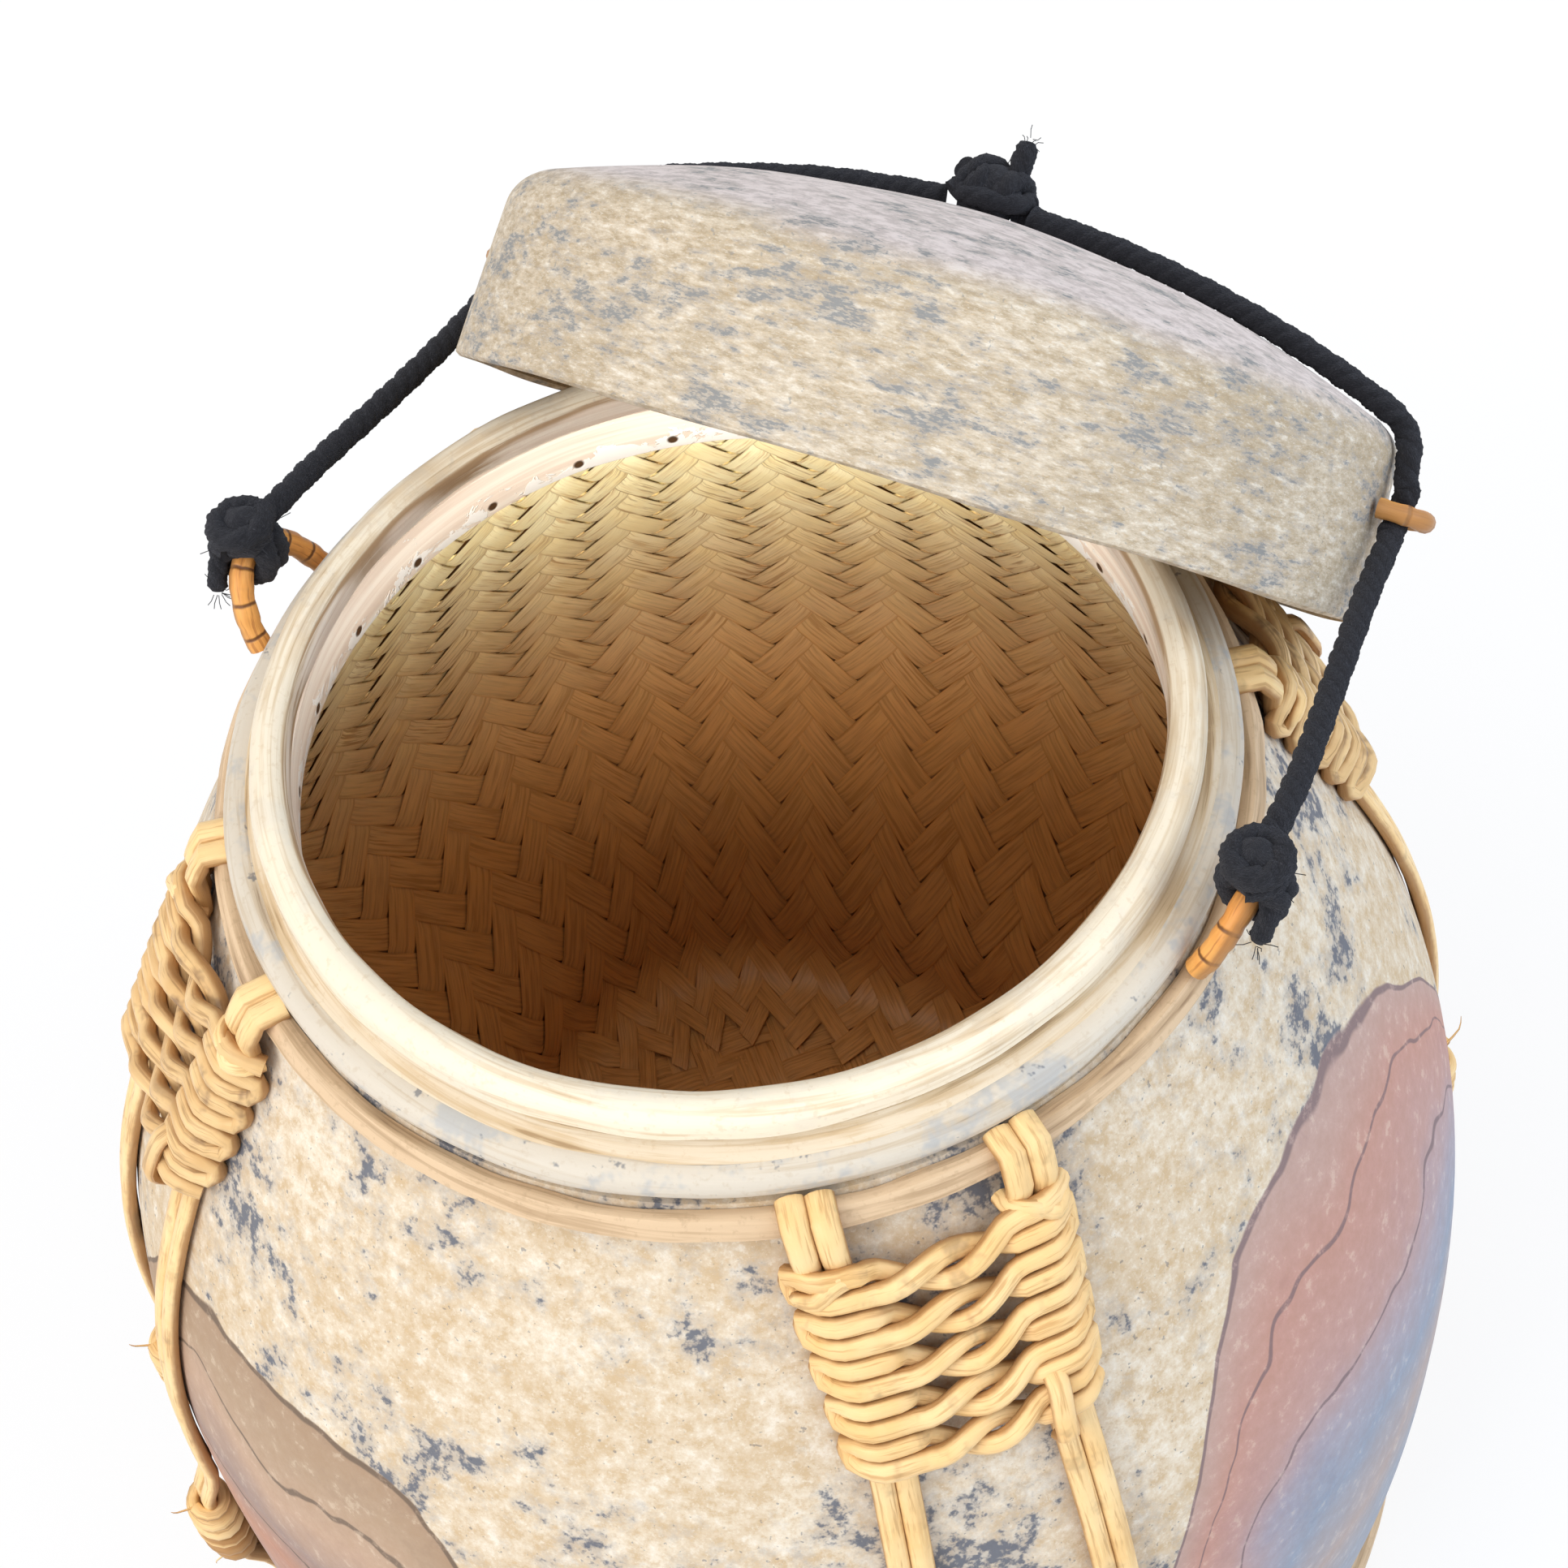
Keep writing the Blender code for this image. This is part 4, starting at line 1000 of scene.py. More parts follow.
class Finish(Enum):
    """Every finish of the container."""

    SHELL = PaintedPaper("shell_paint", (0.77, 0.67, 0.53), (0.58, 0.42, 0.245), 0.0110, 0.87, hills=True)
    LID = PaintedPaper("lid_painted_paper", (0.64, 0.545, 0.42), (0.39, 0.30, 0.19), 0.0066, 0.78,
                       (0.235, 0.245, 0.25), 3.0, turn=LID.tilt, centre=LID.pivot, crown=(0.77, 0.68, 0.67),
                       change=0.0100)
    RIM = RingPaint("rim_paint", (0.76, 0.67, 0.53), (0.58, 0.44, 0.28), (0.34, 0.21, 0.11), 0.66, 0.12, 0.0684)
    COLLAR = RingPaint("collar_paint", (0.76, 0.64, 0.48), (0.60, 0.43, 0.24), (0.32, 0.19, 0.08), 1.00)
    BEAD = RingPaint("bead_paint", (0.68, 0.61, 0.51), (0.54, 0.43, 0.30), (0.26, 0.18, 0.11), 0.60, 0.65)
    NECK_RING = RingPaint("neck_ring_cane", (0.72, 0.525, 0.335), (0.47, 0.315, 0.18), (0.23, 0.13, 0.065),
                          0.80)
    HOOP = HoopPaint("hoop_paint")
    # The last colour is painted shade, which the strips darken towards deep inside the pot.
    WEAVE = SplitCane("weave_bamboo", (0.96, 0.89, 0.57), (0.91, 0.77, 0.42), (0.56, 0.33, 0.12),
                      16.0, 0.045, 0.0, 0.0, 0.36, True, (0.52, 0.22, 0.058))
    # Painted shade: the dark bamboo behind the plaited strips, seen in their gaps.
    LINING = SplitCane("shaded_backing_bamboo", (0.30, 0.14, 0.05), (0.24, 0.10, 0.03), (0.12, 0.05, 0.015),
                       10.0, 0.2, 0.0, 0.0, 0.8)
    PALE_CANE = SplitCane("pale_cane", (0.96, 0.70, 0.36), (0.88, 0.58, 0.25), (0.50, 0.27, 0.10),
                          15.0, 0.06, 0.0, 0.42)
    AGED_CANE = SplitCane("aged_cane", (0.86, 0.60, 0.30), (0.70, 0.44, 0.19), (0.30, 0.15, 0.055),
                          13.0, 0.06, 0.0, 0.90)
    GOLDEN_CANE = SplitCane("golden_cane", (0.96, 0.68, 0.34), (0.88, 0.56, 0.23), (0.52, 0.27, 0.09),
                            14.0, 0.06, 0.0, 0.50)
    ORANGE_CANE = SplitCane("orange_cane", (0.90, 0.45, 0.125), (0.74, 0.29, 0.065), (0.36, 0.12, 0.035),
                            12.0, 0.08, 0.90, 0.45)
    CORD = CottonCord("cotton_cord")
    WOOD = PlainWood("bare_wood")


# Sub-assemblies


@dataclass
class Basket:
    """Plaited basket: diagonal strips in a two-over-two twill, from a square floor to a round mouth."""

    strip_width: float = 0.0065
    columns: int = 80                  # diamonds round the wall
    floor_half: float = 0.0850
    squareness: float = 3.8
    floor_height: float = 0.0192       # inside face of the floor
    edge_radius: float = 0.0120
    round_until: float = 0.1300
    wall: float = 0.0026
    top: float = 0.2246
    tallest_row: float = 0.0150
    relief: float = 0.00051
    half_length: float = 1.27          # of a visible length of strip, in cells
    dive_from: float = 0.70            # where its ends start to dive, in cells
    fill: float = 0.985                # of a cell's width that a strip fills
    dive_depth: float = 1.9            # of its ends, in reliefs
    crown_height: float = 0.20         # of its middle, in reliefs
    slab: float = 0.45                 # its thickness, in reliefs
    bow: float = 0.05                  # its bend on the wall, in cells
    lip: float = 0.0012                # from the floor up to the wall's first row
    backing: float = 0.0009            # thickness of the layer behind the strips
    tones: int = 4096                  # strips with a tone of their own
    numbering: int = 2000              # between the numbers of strips that run the two ways
    seed: int = 7

    def ring_radius(self, azimuth: np.ndarray, z: np.ndarray) -> np.ndarray:
        """Inner radius of the basket's wall.

        Args:
            azimuth: Azimuths.
            z: Heights.

        Returns:
            Radii.
        """
        edge_top = self.floor_height + self.edge_radius
        wall_z = np.maximum(z, edge_top)
        share = np.clip((self.round_until - wall_z) / (self.round_until - edge_top), 0.0, 1.0)
        share = share * share * (3.0 - 2.0 * share)
        inside = np.interp(wall_z, SHELL_INSIDE[::-1, 1], SHELL_INSIDE[::-1, 0]) - AIR
        x, y = np.abs(np.sin(azimuth)), np.abs(np.cos(azimuth))
        square = self.floor_half / (x ** self.squareness + y ** self.squareness) ** (1.0 / self.squareness)
        down = np.clip((edge_top - z) / self.edge_radius, 0.0, 1.0)
        inset = self.edge_radius * (1.0 - np.sqrt(1.0 - down ** 2))
        return inside * (1.0 - share) + square * share - inset - self.wall

    def row_heights(self) -> np.ndarray:
        """Height at each whole row of diamonds, from the floor's edge up."""
        z, heights = self.floor_height + self.lip, []
        while z < self.top + 0.030:
            heights.append(z)
            radius, ahead = (float(self.ring_radius(np.array([0.4]), np.array([level]))[0])
                             for level in (z, z + 0.002))
            across = TURN * radius / self.columns
            spare = max(across ** 2 - self.strip_width ** 2, 1e-8)
            row = min(self.strip_width * across / math.sqrt(spare), self.tallest_row)
            slant = math.hypot(1.0, (ahead - radius) / 0.002)
            z += row / min(slant, 3.0)
        return np.array(heights)

    def wall_points(self, across: np.ndarray, rows: np.ndarray, off: np.ndarray) -> np.ndarray:
        """Points on the wall.

        Args:
            across: Position round the wall in diamonds.
            rows: Position up the wall in diamonds.
            off: Distance off the wall, inwards.

        Returns:
            Points as rows.
        """
        z = np.interp(rows, np.arange(len(self.heights)), self.heights)
        inward = np.minimum(rows, 0.0) * 0.0085
        per_side = self.columns / 4.0
        side = np.floor(across / per_side)
        local = (across / per_side - side) * 2.0 - 1.0
        share = np.clip((self.round_until - z) / (self.round_until - self.floor_height), 0.0, 1.0)
        turn = np.arctan(local) * share + local * math.pi / 4.0 * (1.0 - share)
        azimuth = side * math.pi / 2.0 + turn
        radius = self.ring_radius(azimuth, z)
        slope = (self.ring_radius(azimuth, z + 0.001) - radius) / 0.001
        flat = np.sqrt(1.0 + slope ** 2)
        radius = radius - off / flat + inward
        z = np.minimum(z + off * np.minimum(slope / flat, 1.0), self.top)
        return np.stack([radius * np.sin(azimuth), radius * np.cos(azimuth), z], 1)

    def floor_points(self, x: np.ndarray, y: np.ndarray, off: np.ndarray) -> np.ndarray:
        """Points on the floor, from positions in diamonds, pulled back where they pass its edge."""
        size = 2.0 * self.floor_half / (self.columns / 4.0)
        points = np.stack([x * size, y * size, self.floor_height - 0.0003 + off], 1)
        azimuth = np.arctan2(points[:, 0], points[:, 1])
        radius = np.hypot(points[:, 0], points[:, 1])
        most = self.ring_radius(azimuth, np.full(len(points), self.floor_height + self.lip)) + self.lip
        points[:, :2] *= np.minimum(1.0, most / np.maximum(radius, 1e-6))[:, None]
        return points

    def float_shape(self) -> tuple[np.ndarray, np.ndarray]:
        """One visible length of strip, modelled once: a crowned slab whose ends dive under their neighbours.

        Returns:
            Its points, as (across, along, off) in cells, and its quads.
        """
        piece = primitive("grid", "float", x_subdivisions=3, y_subdivisions=5, size=1.0)
        flat = coordinates(piece)
        along = flat[:, 1] * 2.0 * self.half_length
        dive = np.clip((np.abs(along) - self.dive_from) / (self.half_length - self.dive_from), 0.0, 1.0) ** 1.7
        crown = 1.0 - (flat[:, 0] / 0.5) ** 2
        height = (1.0 - self.dive_depth * dive) + self.crown_height * crown
        move_to(piece, np.stack([flat[:, 0] * self.fill, along, height], 1))
        modify(piece, "SOLIDIFY", thickness=self.slab, offset=-1.0)
        edit(piece, weld)
        points = coordinates(piece)
        quads = np.array([tuple(face.vertices) for face in piece.data.polygons if len(face.vertices) == 4])
        bpy.data.objects.remove(piece, do_unlink=True)
        return points, quads

    def strips(self) -> tuple[np.ndarray, ...]:
        """Every visible length of strip, on the wall and the floor.

        Returns:
            Points, quads, and UV, tone and crest of each point.
        """
        shape, quads = self.float_shape()
        rng = np.random.default_rng(self.seed)
        tones = rng.random((2, self.tones))
        sway = self.bow * (shape[:, 1] ** 2 - 0.5)
        kept = []

        def lay(first: tuple[float, int], second: tuple[float, int], strip: int, on_floor: bool) -> None:
            """Map one length and keep it."""
            sides = (shape[:, 0] if on_floor else shape[:, 0] + sway, shape[:, 1])
            one, two = first[0] + sides[first[1]], second[0] + sides[second[1]]
            surface = self.floor_points if on_floor else self.wall_points
            points = surface((two - one) / 2.0, (one + two) / 2.0, shape[:, 2] * self.relief)
            forward = first[1] == 0
            own = tones[int(forward), strip % self.tones]
            # A random tone for each strip, plus 0.2 on strips running the other way: painted sheen that makes
            # that direction come out darker.
            tone = 0.5 * own + 0.3 * rng.random() + (0.0 if forward else 0.2)
            slide = rng.random() * 40.0
            uv = shape[:, :2] * self.strip_width * 100.0 + [slide * 3.0, slide]
            kept.append((points, quads + len(kept) * len(shape), uv, np.full(len(points), tone),
                         1.0 - (2.0 * shape[:, 0]) ** 2))

        rows = int(np.searchsorted(self.heights, self.top)) + 1
        for index in range(-2 * self.columns, 2 * self.columns + 2 * rows):
            for turn in range(-self.columns, 2 * self.columns):
                for first, second, _ in self.lengths(index, turn)[:2]:
                    across, along = (second[0] - first[0]) / 2.0, (first[0] + second[0]) / 2.0
                    if 0.0 <= across < self.columns and -1.3 < along < rows:
                        lay(first, second, index + self.numbering * first[1], False)
        half, laid = self.columns / 8.0, set()
        for index in range(-24, 24):
            for turn in range(-12, 13):
                for first, second, upper in self.lengths(index, turn):
                    across, along = (second[0] - first[0]) / 2.0, (first[0] + second[0]) / 2.0
                    inside = max(abs(across), abs(along)) < half - 0.4
                    lead = abs(along) - abs(across)
                    if inside and (lead if upper else -lead) > -0.7 and (first, second) not in laid:
                        laid.add((first, second))
                        lay(first, second, index + 2 * self.numbering, True)
        return tuple(np.concatenate(column) for column in zip(*kept))

    @staticmethod
    def lengths(index: int, turn: int) -> list[tuple[tuple[float, int], tuple[float, int], bool]]:
        """Middles of lengths of strip, with which of the shape's axes lies along each.

        Args:
            index: Which strip.
            turn: Which of its lengths.

        Returns:
            Two for the wall and the floor's upper and lower quarters, then two for its side quarters.
        """
        return [((index + 0.5, 0), (index + 4 * turn + 1.0, 1), True),
                ((index - 4 * turn - 2.0, 1), (index + 0.5, 0), True),
                ((index + 0.5, 0), (4 * turn - index + 1.0, 1), False),
                ((4 * turn - index + 3.0, 1), (index + 0.5, 0), False)]

    def build(self) -> None:
        """Model the strips and the dark layer behind them, whose colour is painted shade in the gaps between
        strips.
        """
        self.heights = self.row_heights()
        points, quads, uv, tones, crests = self.strips()
        mesh = bpy.data.meshes.new("basket_strips")
        mesh.from_pydata(points.tolist(), [], quads.tolist())
        give(mesh, uv, strip_tone=tones, crest=crests)
        strips = bpy.data.objects.new("basket_strips", mesh)
        bpy.context.scene.collection.objects.link(strips)
        smooth_shade(strips, 35.0)
        place(strips, Body.POT, "plaited_bamboo", Finish.WEAVE, "inner_basket")
        place(self.layer(), Body.POT, "plaited_bamboo", Finish.LINING)

    def layer(self) -> Piece:
        """Closed layer behind the strips: a grid wrapped into the basket's form, dark as painted shade where the
        gaps show it.
        """
        sides, levels = 96, 30
        piece = primitive("grid", "basket_layer", x_subdivisions=sides, y_subdivisions=levels, size=1.0)
        flat = coordinates(piece)
        azimuth = (flat[:, 0] + 0.5) * TURN
        up = (flat[:, 1] + 0.5) * levels
        low = self.floor_height
        z = np.interp(up, [0.0, 1.0, 6.0, levels], [low, low, low + self.edge_radius, self.top - 0.0005])
        radius = (self.ring_radius(azimuth, z) + self.backing) * np.where(up < 0.5, 0.0, 1.0)
        move_to(piece, np.stack([radius * np.sin(azimuth), radius * np.cos(azimuth), z - self.backing], 1))
        edit(piece, weld)
        modify(piece, "SOLIDIFY", thickness=self.backing, offset=1.0)
        smooth_shade(piece)
        return piece


@dataclass
class Pot:
    """Painted shell, rim and base."""

    rim_top: float = 0.2400
    rim_crest: float = 0.0030
    rim_depth: float = 0.0057
    hoop_seat: float = 0.0060          # depth of the hoop's and the collar's top below the rim's
    hoop_foot: float = 0.0175
    bead_radius: float = 0.0032
    bead_drop: float = 0.0112          # of the bead's middle
    bead_flat: float = 0.90            # height of its top, as a share of a full round's
    ring_drop: float = 0.0179          # of the neck ring's middle
    ring_width: float = 0.0044
    ring_thick: float = 0.0026
    foot_inner: float = 0.1040
    foot_top: float = 0.0100
    batten_width: float = 0.022

    def build(self) -> None:
        """Model the shell, the rim's hoops and the base."""
        self.collar_outer = float(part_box("collar_hoop")[1][0])
        self.collar_foot = float(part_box("collar_hoop")[0][2])
        self.hoop_outer = float(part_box("inner_rim_hoop")[1][0])
        self.bead_ring = float(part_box("flange_bead")[1][0]) - 0.0035
        self.shell()
        self.rim()
        self.hoops()
        self.bead()
        self.neck_ring()
        self.base()
        self.battens()

    def shell(self) -> None:
        """Papered shell."""
        outer, inner = ([tuple(point) for point in line] for line in (SHELL_LINE, SHELL_INSIDE[::3]))
        inner[0] = (inner[0][0], outer[0][1])
        inner.append((float(SHELL_INSIDE[-1][0]), outer[-1][1]))
        piece = turned("painted_shell", outer + inner[::-1])
        place(piece, Body.POT, "papered_shell", Finish.SHELL, "outer_shell")

    def rim(self) -> None:
        """Rounded top rim."""
        inside, outside = self.hoop_outer - 0.0027, self.collar_outer + 0.0002
        middle, half = (inside + outside) / 2.0, (outside - inside) / 2.0
        outline = [(middle - half * math.cos(angle),
                    self.rim_top - self.rim_crest + self.rim_crest * math.sin(angle) ** 0.9)
                   for angle in (math.pi * step / 16.0 for step in range(17))]
        low = self.rim_top - self.rim_depth
        outline += [(outside, low + 0.0004), (outside - 0.0006, low), (inside + 0.0004, low),
                    (inside, low + 0.0004)]
        piece = turned("mouth_rim", outline, rough=(0.0004, 0.014, 3.0))
        place(piece, Body.POT, "rim_paint", Finish.RIM, "top_rim")

    def hoops(self) -> None:
        """Inner hoop and collar."""
        outer, collar = self.hoop_outer, self.collar_outer
        seat, low = self.rim_top - self.hoop_seat, self.rim_top - self.hoop_foot
        piece = turned("mouth_hoop", [(outer, seat), (outer, low), (outer - 0.0009, low - 0.0001),
                                      (outer - 0.0015, low + 0.0006), (outer - 0.0021, (seat + low) / 2.0),
                                      (outer - 0.0025, seat)], rough=(0.0003, 0.020, 9.0))
        place(piece, Body.POT, "hoop_wood", Finish.HOOP, "inner_rim_hoop")
        lip, inner, cove = seat - 0.0018, outer + 0.0003, self.bead_ring - 0.0002
        piece = turned("mouth_collar", [(collar - 0.0002, seat), (collar, seat - 0.0002),
                                        (collar + 0.0002, lip + 0.0004), (collar + 0.0010, lip),
                                        (cove - 0.0006, lip - 0.0002), (cove, lip - 0.0007),
                                        (inner + 0.0017, lip - 0.0040), (inner + 0.0017, self.collar_foot),
                                        (inner, self.collar_foot), (inner, seat)], rough=(0.0003, 0.012, 5.0))
        place(piece, Body.POT, "rim_paint", Finish.COLLAR, "collar_hoop")

    def bead(self) -> None:
        """Flange bead: a full round with a flatter top."""
        outline = []
        for angle in around(20, 20):
            flat = self.bead_flat if math.sin(angle) > 0.5 > math.cos(angle) else 1.0
            outline.append((self.bead_ring + 0.0002 + self.bead_radius * math.cos(angle),
                            self.rim_top - self.bead_drop + self.bead_radius * flat * math.sin(angle)))
        piece = turned("mouth_bead", outline, rough=(0.0004, 0.016, 1.0))
        place(piece, Body.POT, "rim_paint", Finish.BEAD, "flange_bead")

    def neck_ring(self) -> None:
        """Flat cane band on the shoulder, with its edges rounded."""
        z = self.rim_top - self.ring_drop
        off = np.array(shell_normal(z))
        along = np.array([off[1], -off[0]])
        centre = np.array([shell_radius(z), z]) + off * (self.ring_thick / 2.0 + AIR)
        outline = [tuple(centre + along * a * self.ring_width * 0.5 + off * b * self.ring_thick * 0.5)
                   for a, b in ((-1.0, -1.0), (-1.0, 0.3), (-0.8, 0.85), (-0.4, 1.0), (0.0, 0.86), (0.4, 1.0),
                                (0.8, 0.85), (1.0, 0.3), (1.0, -1.0))]
        piece = turned("shoulder_ring", outline, rough=(0.0005, 0.010, 2.0))
        place(piece, Body.POT, "brown_cane", Finish.NECK_RING, "neck_ring")

    def base(self) -> None:
        """Foot hoop and board."""
        outer, inner, top = float(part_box("foot_hoop")[1][0]), self.foot_inner, self.foot_top
        arc = [(outer - 0.003 * (1.0 - math.cos(a)), top - 0.003 * (1.0 - math.sin(a)))
               for a in [math.pi / 2.0 * (1.0 - i / 6.0) for i in range(7)]]
        arc += [(outer - 0.0004, 0.0006), (outer - 0.0012, 0.0), (inner, 0.0), (inner, top)]
        piece = turned("foot_ring", arc, 160, rough=(0.0003, 0.015, 6.0))
        place(piece, Body.POT, "brown_cane", Finish.NECK_RING, "foot_hoop")
        radius, _, thick = (float(value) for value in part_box("base_board")[1])
        piece = turned("bottom_board", [(0.0, thick), (radius - 0.0008, thick), (radius, thick - 0.0008),
                                        (radius, 0.0008), (radius - 0.0008, 0.0), (0.0, 0.0)], 96)
        place(piece, Body.POT, "base_wood", Finish.WOOD, "base_board")

    def battens(self) -> None:
        """Crossed battens under the basket, halved into each other."""
        low, high = (Vector(corner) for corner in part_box("floor_battens"))
        bars = []
        for scale in ((high.x - low.x, self.batten_width, high.z - low.z),
                      (self.batten_width, high.y - low.y, high.z - low.z)):
            bars.append(primitive("cube", "cross_battens", (low + high) / 2.0, size=1.0))
            bars[-1].scale = scale
            bpy.ops.object.transform_apply(location=True, rotation=True, scale=True)
        modify(bars[0], "BOOLEAN", operation="UNION", object=bars[1])
        bpy.data.objects.remove(bars[1], do_unlink=True)
        modify(bars[0], "BEVEL", width=0.0010, segments=2, limit_method="ANGLE", angle_limit=math.radians(35.0))
        smooth_shade(bars[0])
        place(bars[0], Body.POT, "base_wood", Finish.WOOD, "floor_battens")


@dataclass
class Harness:
    """Split-cane harness: straps folded over the neck ring, woven pads and wound bindings."""

    azimuths: tuple[tuple[str, float], ...] = (("back_right", 45.0), ("front_right", 135.0),
                                               ("front_left", 225.0), ("back_left", 315.0))
    cane_width: float = 0.0038
    cane_height: float = 0.0027
    cane_spacing: float = 0.0036
    tuck: tuple[float, float] = (0.0797, 0.2253)      # radius and height where a strap's canes start
    ring_thick: float = 0.0030         # of the neck ring, that they lie over
    ring_foot: float = 0.0215          # depth where they leave it
    spread_top: float = 0.0155
    spread_foot: float = 0.0138
    strand: float = 0.00175            # radius of a pad's strand
    rows: int = 10
    pad_top: float = 0.0250
    pad_foot: float = 0.0555
    dip: float = 0.0016
    canes_top: float = 0.0035          # of the canes under a pad, off the shell
    canes_edge: float = 0.0037         # of the outer cane, from a strap's middle
    turn_in: float = 0.0030            # from a strap's middle to where the strands start to cross
    binding_top: float = 0.1600
    binding_turns: int = 6
    binding_pitch: float = 0.0038
    binding_lift: float = 0.0034       # how far it holds its canes off the shell

    def spread(self, drop: float) -> float:
        """Sideways distance from a pad's middle to a strap, down to the pad's foot."""
        share = min(max((drop - self.pad_top) / (self.pad_foot - self.pad_top), 0.0), 1.0)
        return self.spread_top + (self.spread_foot - self.spread_top) * share

    def strap_azimuth(self, azimuth: float, side: float, drop: float) -> float:
        """Azimuth of a strap's middle."""
        radius = shell_radius(FORM.mouth - min(drop, self.pad_foot))
        return azimuth + side * math.asin(self.spread(drop) / radius)

    def strap_off(self, drop: float) -> float:
        """Height of a cane's middle off the shell."""
        rest = self.cane_height / 2.0 + AIR
        lift = self.ring_thick + 2.0 * AIR + self.cane_height / 2.0 - rest
        over_ring = lift * smooth(1.0 - (drop - self.ring_foot) / 0.0050)
        end = self.binding_top + self.binding_turns * self.binding_pitch
        away = max(self.binding_top - drop, drop - end, 0.0)
        return rest + over_ring + self.binding_lift * smooth(1.0 - away / 0.0100)

    def build(self) -> None:
        """Model all four quarters."""
        for index, (name, degrees) in enumerate(self.azimuths):
            azimuth = math.radians(degrees)
            for word, side in (("left", 1.0), ("right", -1.0)):
                self.strap("%s_%s" % (name, word), azimuth, side, index)
                self.binding("%s_%s" % (name, word), azimuth, side, index)
            self.pad(name, azimuth, index)

    def strap(self, name: str, azimuth: float, side: float, index: int) -> None:
        """Strap of two canes.

        Args:
            name: Its pad and side.
            azimuth: Azimuth of its pad.
            side: 1 on the pad's left and -1 on its right.
            index: Which pad.
        """
        canes = []
        for cane in (1.0, -1.0):
            start = self.strap_azimuth(azimuth, side, 0.0) + cane * 0.0021 / 0.08
            path = [polar(self.tuck[0], start, self.tuck[1])]
            for drop in [0.0172, 0.0190, 0.0215, 0.0240, 0.0270, *np.linspace(0.032, 0.2255, 44)]:
                gap = self.cane_spacing * (1.18 if drop < 0.03 else 1.0)
                path.append(on_shell(self.strap_azimuth(azimuth, side, drop), cane * gap / 2.0, drop,
                                     self.strap_off(drop)))
            path.append(Vector((path[-1].x, path[-1].y, 0.0105)))
            strand = Strand(oval(self.cane_width, self.cane_height, 12), up=away_from_axis,
                            scale=lambda s: 1.22 - 0.22 * smooth(s / 0.12),
                            seed=7.0 * index + side + 2.0 * cane)
            canes.append(strand.lay("cane", path, 0.0035))
        canes.append(self.cross_wrap(azimuth, side, index))
        place(joined("cane_strap_%s" % name, canes), Body.POT, "pale_cane", Finish.PALE_CANE, "strap_%s" % name)

    def cross_wrap(self, azimuth: float, side: float, index: int) -> Piece:
        """Short wrap across the two canes of a strap, just under the neck ring.

        Args:
            azimuth: Azimuth of the strap's pad.
            side: 1 on the pad's left and -1 on its right.
            index: Which pad.

        Returns:
            The new piece.
        """
        middle = self.strap_azimuth(azimuth, side, 0.0245)
        points = [on_shell(middle, across, 0.0258 + down * side, off + 0.0014)
                  for across, off, down in ((-0.0042, 0.0004, 0.0006), (-0.0040, 0.0032, 0.0),
                                            (-0.0018, 0.0052, -0.0006), (0.0, 0.0050, 0.0004),
                                            (0.0018, 0.0052, 0.0014), (0.0040, 0.0032, 0.0020),
                                            (0.0042, 0.0004, 0.0026))]
        strand = Strand(oval(0.0030, 0.0022, 10), up=away_from_axis, seed=3.0 * index + side)
        return strand.lay("wrap", points, 0.0009)

    def binding(self, name: str, azimuth: float, side: float, index: int) -> None:
        """Strand wound round the two canes of a strap, thickest in the middle, with two stray whiskers.

        Args:
            name: Its pad and side.
            azimuth: Azimuth of its pad.
            side: 1 on the pad's left and -1 on its right.
            index: Which pad.
        """
        path, per_turn = [], 14
        total = self.binding_turns * per_turn
        for step in range(total + 1):
            angle = TURN * (step / per_turn + 0.3)
            drop = self.binding_top + self.binding_pitch * step / per_turn
            reach = 0.0026 + 0.0006 * math.sin(math.pi * (step / total)) ** 0.6
            across = (reach + self.cane_spacing * 0.35) * math.cos(angle)
            off = self.strap_off(drop) + (reach + 0.0002) * math.sin(angle)
            path.append(on_shell(self.strap_azimuth(azimuth, side, drop), across, drop, off))
        strand = Strand(oval(0.0030, 0.0026, 10), scale=lambda s: 0.80 + 0.35 * math.sin(math.pi * s),
                        seed=11.0 * index + side)
        pieces = [strand.lay("wound", path, 0.0009)]
        hair = Strand(oval(0.0006, 0.0005, 5), scale=lambda s: 1.0 - 0.75 * s)
        for start, lift in ((path[0], -1.0), (path[-1], 1.0)):
            outward = Vector(away_from_axis(np.array(start)))
            tip = (start + outward * 0.0030 + Vector((0.0, 0.0, -0.006 * lift))
                   + polar(0.002, azimuth + 1.3 * lift, 0.0))
            pieces.append(hair.lay("whisker", [start, (start + tip) / 2.0 + outward * 0.0012, tip], 0.0015))
        piece = joined("cane_binding_%s" % name, pieces)
        place(piece, Body.POT, "pale_cane", Finish.PALE_CANE, "binding_%s" % name)

